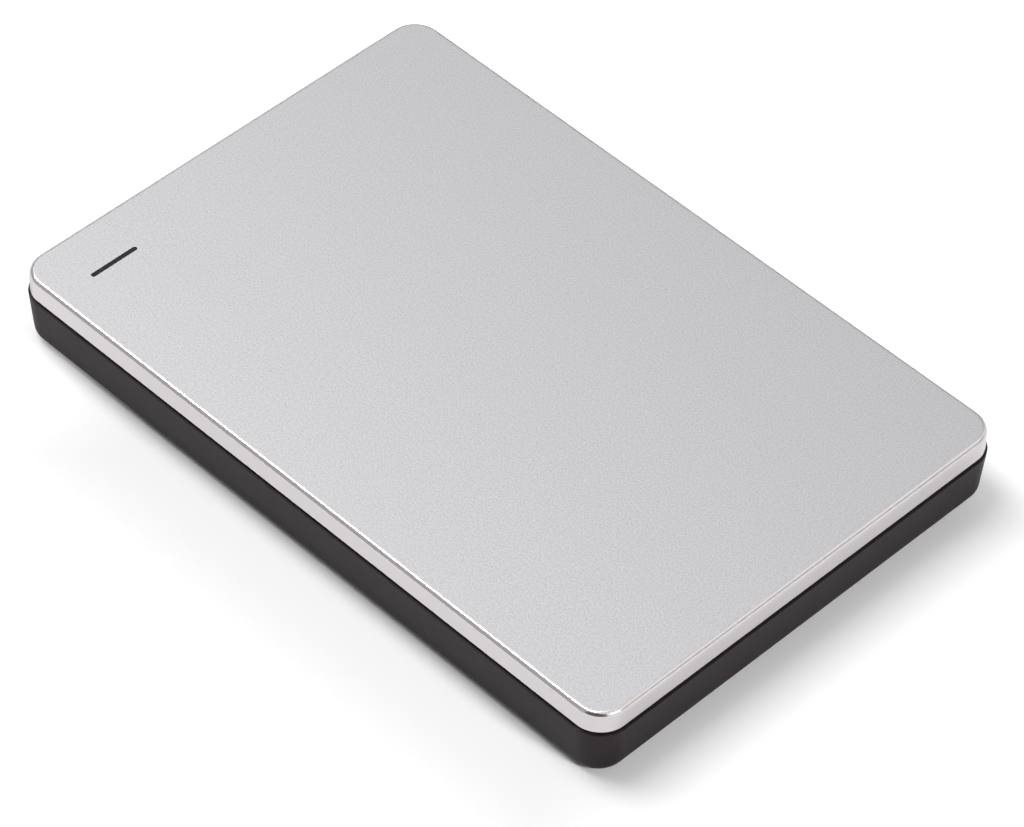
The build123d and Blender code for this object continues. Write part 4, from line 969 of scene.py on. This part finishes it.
@dataclass
class Studio:
    """The camera, the floor, the lamps and the white surround."""

    # The camera, fitted to the object's outline: its angles in degrees, its distance and offset in
    # millimetres, its focal length in pixels and its clipping in metres
    azimuth: float = -45.657
    elevation: float = 46.371
    roll: float = 1.630
    distance: float = 702.37
    offset: Pair = (-1.517, 0.765)
    focal_pixels: float = 5142.9
    clip: Pair = (0.01, 50.0)
    lamps: tuple[Softbox, ...] = (KEY_STRIP, KEY_SOFTBOX, FRONT_SOFTBOX)
    cards: tuple[Card, ...] = (CAMERA_CARD, SIDE_CARD, RIM_CARD, FRONT_CARD)
    # The surround's strength from above, and the upward parts of a direction between which it rises
    ambient: float = 0.15
    ambient_rise: Pair = (0.35, 0.90)
    # Its strength where it is mirrored, towards -Y and +Y, and the parts along Y between which it turns
    mirrored: Pair = (0.90, 0.47)
    mirrored_turn: Pair = (-0.15, 0.30)
    surround_colour: str = "#FFFFFF"
    # The floor, in metres: it lies a hair under the object and fades to white between two distances
    floor_size: float = 8.0
    floor_drop: float = 0.00002
    floor_colour: str = "#F8F8F9"
    floor_fade: Pair = (0.25, 0.80)
    # How much it is lightened under the object and away from it, and the share of that in a mirror
    floor_lift: Pair = (0.04, 0.45)
    mirror_lift: float = 0.2
    # The shadow's middle and half sizes, in metres, and the multiples of these between which it ends
    shadow_centre: Pair = (-0.010, -0.011)
    shadow_half: Pair = (0.058, 0.067)
    shadow_rise: Pair = (0.58, 1.15)

    def build(self) -> None:
        """Set up the view, the floor, the lamps, the cards and the world."""
        bpy.context.scene.view_settings.view_transform = "Standard"
        self.camera()
        self.floor()
        for lamp in self.lamps:
            lamp.hang()
        for card in self.cards:
            card.stand()
        self.world()

    def camera(self) -> None:
        """Place the camera as the photograph was taken."""
        turn, rise, roll = (math.radians(x) for x in (self.azimuth, self.elevation, self.roll))
        back = Vector((math.sin(turn) * math.cos(rise), -math.cos(turn) * math.cos(rise), math.sin(rise)))
        flat_right = Vector((math.cos(turn), math.sin(turn), 0.0))
        flat_up = back.cross(flat_right)
        right = math.cos(roll) * flat_right + math.sin(roll) * flat_up
        up = -math.sin(roll) * flat_right + math.cos(roll) * flat_up
        place = back * self.distance - right * self.offset[0] - up * self.offset[1]
        data = bpy.data.cameras.new("camera")
        data.sensor_width = SENSOR_WIDTH
        data.lens = self.focal_pixels * SENSOR_WIDTH / IMAGE_WIDTH
        data.clip_start, data.clip_end = self.clip
        camera = bpy.data.objects.new("camera", data)
        camera.matrix_world = Matrix((
            (right.x, up.x, back.x, place.x * MM),
            (right.y, up.y, back.y, place.y * MM),
            (right.z, up.z, back.z, place.z * MM),
            (0, 0, 0, 1),
        ))
        bpy.context.scene.collection.objects.link(camera)
        bpy.context.scene.camera = camera

    @staticmethod
    def seen(tree: Tree, *kinds: str) -> Socket:
        """Give 1 for the named kinds of ray and 0 for the others.

        Args:
            tree: The node tree that needs it.
            kinds: The kinds of ray, by the name of their output.

        Returns:
            The output that tells them apart.
        """
        path = add(tree, "LightPath").outputs
        share = path[kinds[0]]
        for kind in kinds[1:]:
            share = add(tree, "Math", {0: share, 1: path[kind]}, operation="MAXIMUM").outputs[0]
        return share

    def shadow_level(self, tree: Tree, place: Socket) -> Socket:
        """Let the floor lighten smoothly outwards from under the object.

        Args:
            tree: The floor's node tree.
            place: The output that holds the place on the floor.

        Returns:
            The output that holds how much the floor is lifted there.
        """
        unit = (1 / self.shadow_half[0], 1 / self.shadow_half[1], 1.0)
        centre = (-self.shadow_centre[0] * unit[0], -self.shadow_centre[1] * unit[1], 0.0)
        spot = add(tree, "Mapping", {"Vector": place, "Location": centre, "Scale": unit}).outputs["Vector"]
        reach = add(tree, "VectorMath", {0: spot}, operation="ABSOLUTE").outputs["Vector"]
        sides = add(tree, "SeparateXYZ", {"Vector": reach}).outputs
        outside = add(tree, "Math", {0: sides["X"], 1: sides["Y"]}, operation="MAXIMUM").outputs[0]
        rise = {"Value": outside, "From Min": self.shadow_rise[0], "From Max": self.shadow_rise[1]}
        rise |= {"To Min": self.floor_lift[0], "To Max": self.floor_lift[1]}
        return add(tree, "MapRange", rise, interpolation_type="SMOOTHSTEP").outputs["Result"]

    def floor(self) -> None:
        """Lay the pale floor, which takes the shadow near the object and goes to white away from it."""
        sheet = Workpiece("floor")
        side = self.floor_size / MM
        sheet.plate((0, 0, -self.floor_drop / MM), side, side)
        sheet.off_bench()
        paper = bpy.data.materials.new("matt_paper_floor")
        paper.use_nodes = True
        tree = paper.node_tree
        tree.nodes.clear()
        place = add(tree, "TexCoord").outputs["Object"]
        away = add(tree, "VectorMath", {0: place}, operation="LENGTH").outputs["Value"]
        span = {"Value": away, "From Min": self.floor_fade[0], "From Max": self.floor_fade[1]}
        fade = add(tree, "MapRange", span).outputs["Result"]
        matt = add(tree, "BsdfDiffuse", {"Color": linear(self.floor_colour)}).outputs[0]
        seen = self.seen(tree, "Is Camera Ray", "Is Glossy Ray", "Is Transmission Ray")
        direct = self.seen(tree, "Is Camera Ray", "Is Transmission Ray")
        eye = add(tree, "Mix", {MIX_SHARE: direct, MIX_FROM: self.mirror_lift, MIX_TO: 1.0}).outputs[MIXED]
        shown = add(tree, "Math", {0: seen, 1: eye}, operation="MULTIPLY").outputs[0]
        level = self.shadow_level(tree, place)
        lift = add(tree, "Math", {0: shown, 1: level}, operation="MULTIPLY").outputs[0]
        glow = add(tree, "Emission", {"Strength": lift}).outputs[0]
        near = add(tree, "AddShader", {0: matt, 1: glow}).outputs[0]
        far = add(tree, "Emission", {"Strength": seen}).outputs[0]
        mixed = add(tree, "MixShader", {0: fade, 1: near, 2: far}).outputs[0]
        add(tree, "OutputMaterial", {"Surface": mixed})
        sheet.obj.data.materials.append(paper)

    def world(self) -> None:
        """Surround the set with soft light from above that the camera sees as white."""
        surround = bpy.data.worlds.new("surround")
        bpy.context.scene.world = surround
        surround.use_nodes = True
        tree = surround.node_tree
        tree.nodes.clear()
        direction = add(tree, "TexCoord").outputs["Generated"]
        towards = add(tree, "SeparateXYZ", {"Vector": direction}).outputs
        tent = {"Value": towards["Z"], "From Min": self.ambient_rise[0], "From Max": self.ambient_rise[1]}
        tent |= {"To Max": self.ambient}
        ambient = add(tree, "MapRange", tent, interpolation_type="SMOOTHSTEP").outputs["Result"]
        sides = {"Value": towards["Y"], "From Min": self.mirrored_turn[0], "From Max": self.mirrored_turn[1]}
        sides |= {"To Min": self.mirrored[0], "To Max": self.mirrored[1]}
        walls = add(tree, "MapRange", sides, interpolation_type="SMOOTHSTEP").outputs["Result"]
        glossy = self.seen(tree, "Is Glossy Ray")
        lit = add(tree, "Mix", {MIX_SHARE: glossy, MIX_FROM: ambient, MIX_TO: walls}).outputs[MIXED]
        white = self.seen(tree, "Is Camera Ray", "Is Transmission Ray")
        strength = add(tree, "Mix", {MIX_SHARE: white, MIX_FROM: lit, MIX_TO: 1.0}).outputs[MIXED]
        colour = linear(self.surround_colour)
        light = add(tree, "Background", {"Strength": strength, "Color": colour}).outputs[0]
        add(tree, "OutputWorld", {"Surface": light})


def main() -> None:
    """Build the cover, the base and the inner pieces, and then the studio."""
    logging.basicConfig(level=logging.INFO, format="%(name)s: %(message)s")
    Cover().build()
    Base().build()
    InnerPieces().build()
    Studio().build()


if __name__ == "__main__":
    main()
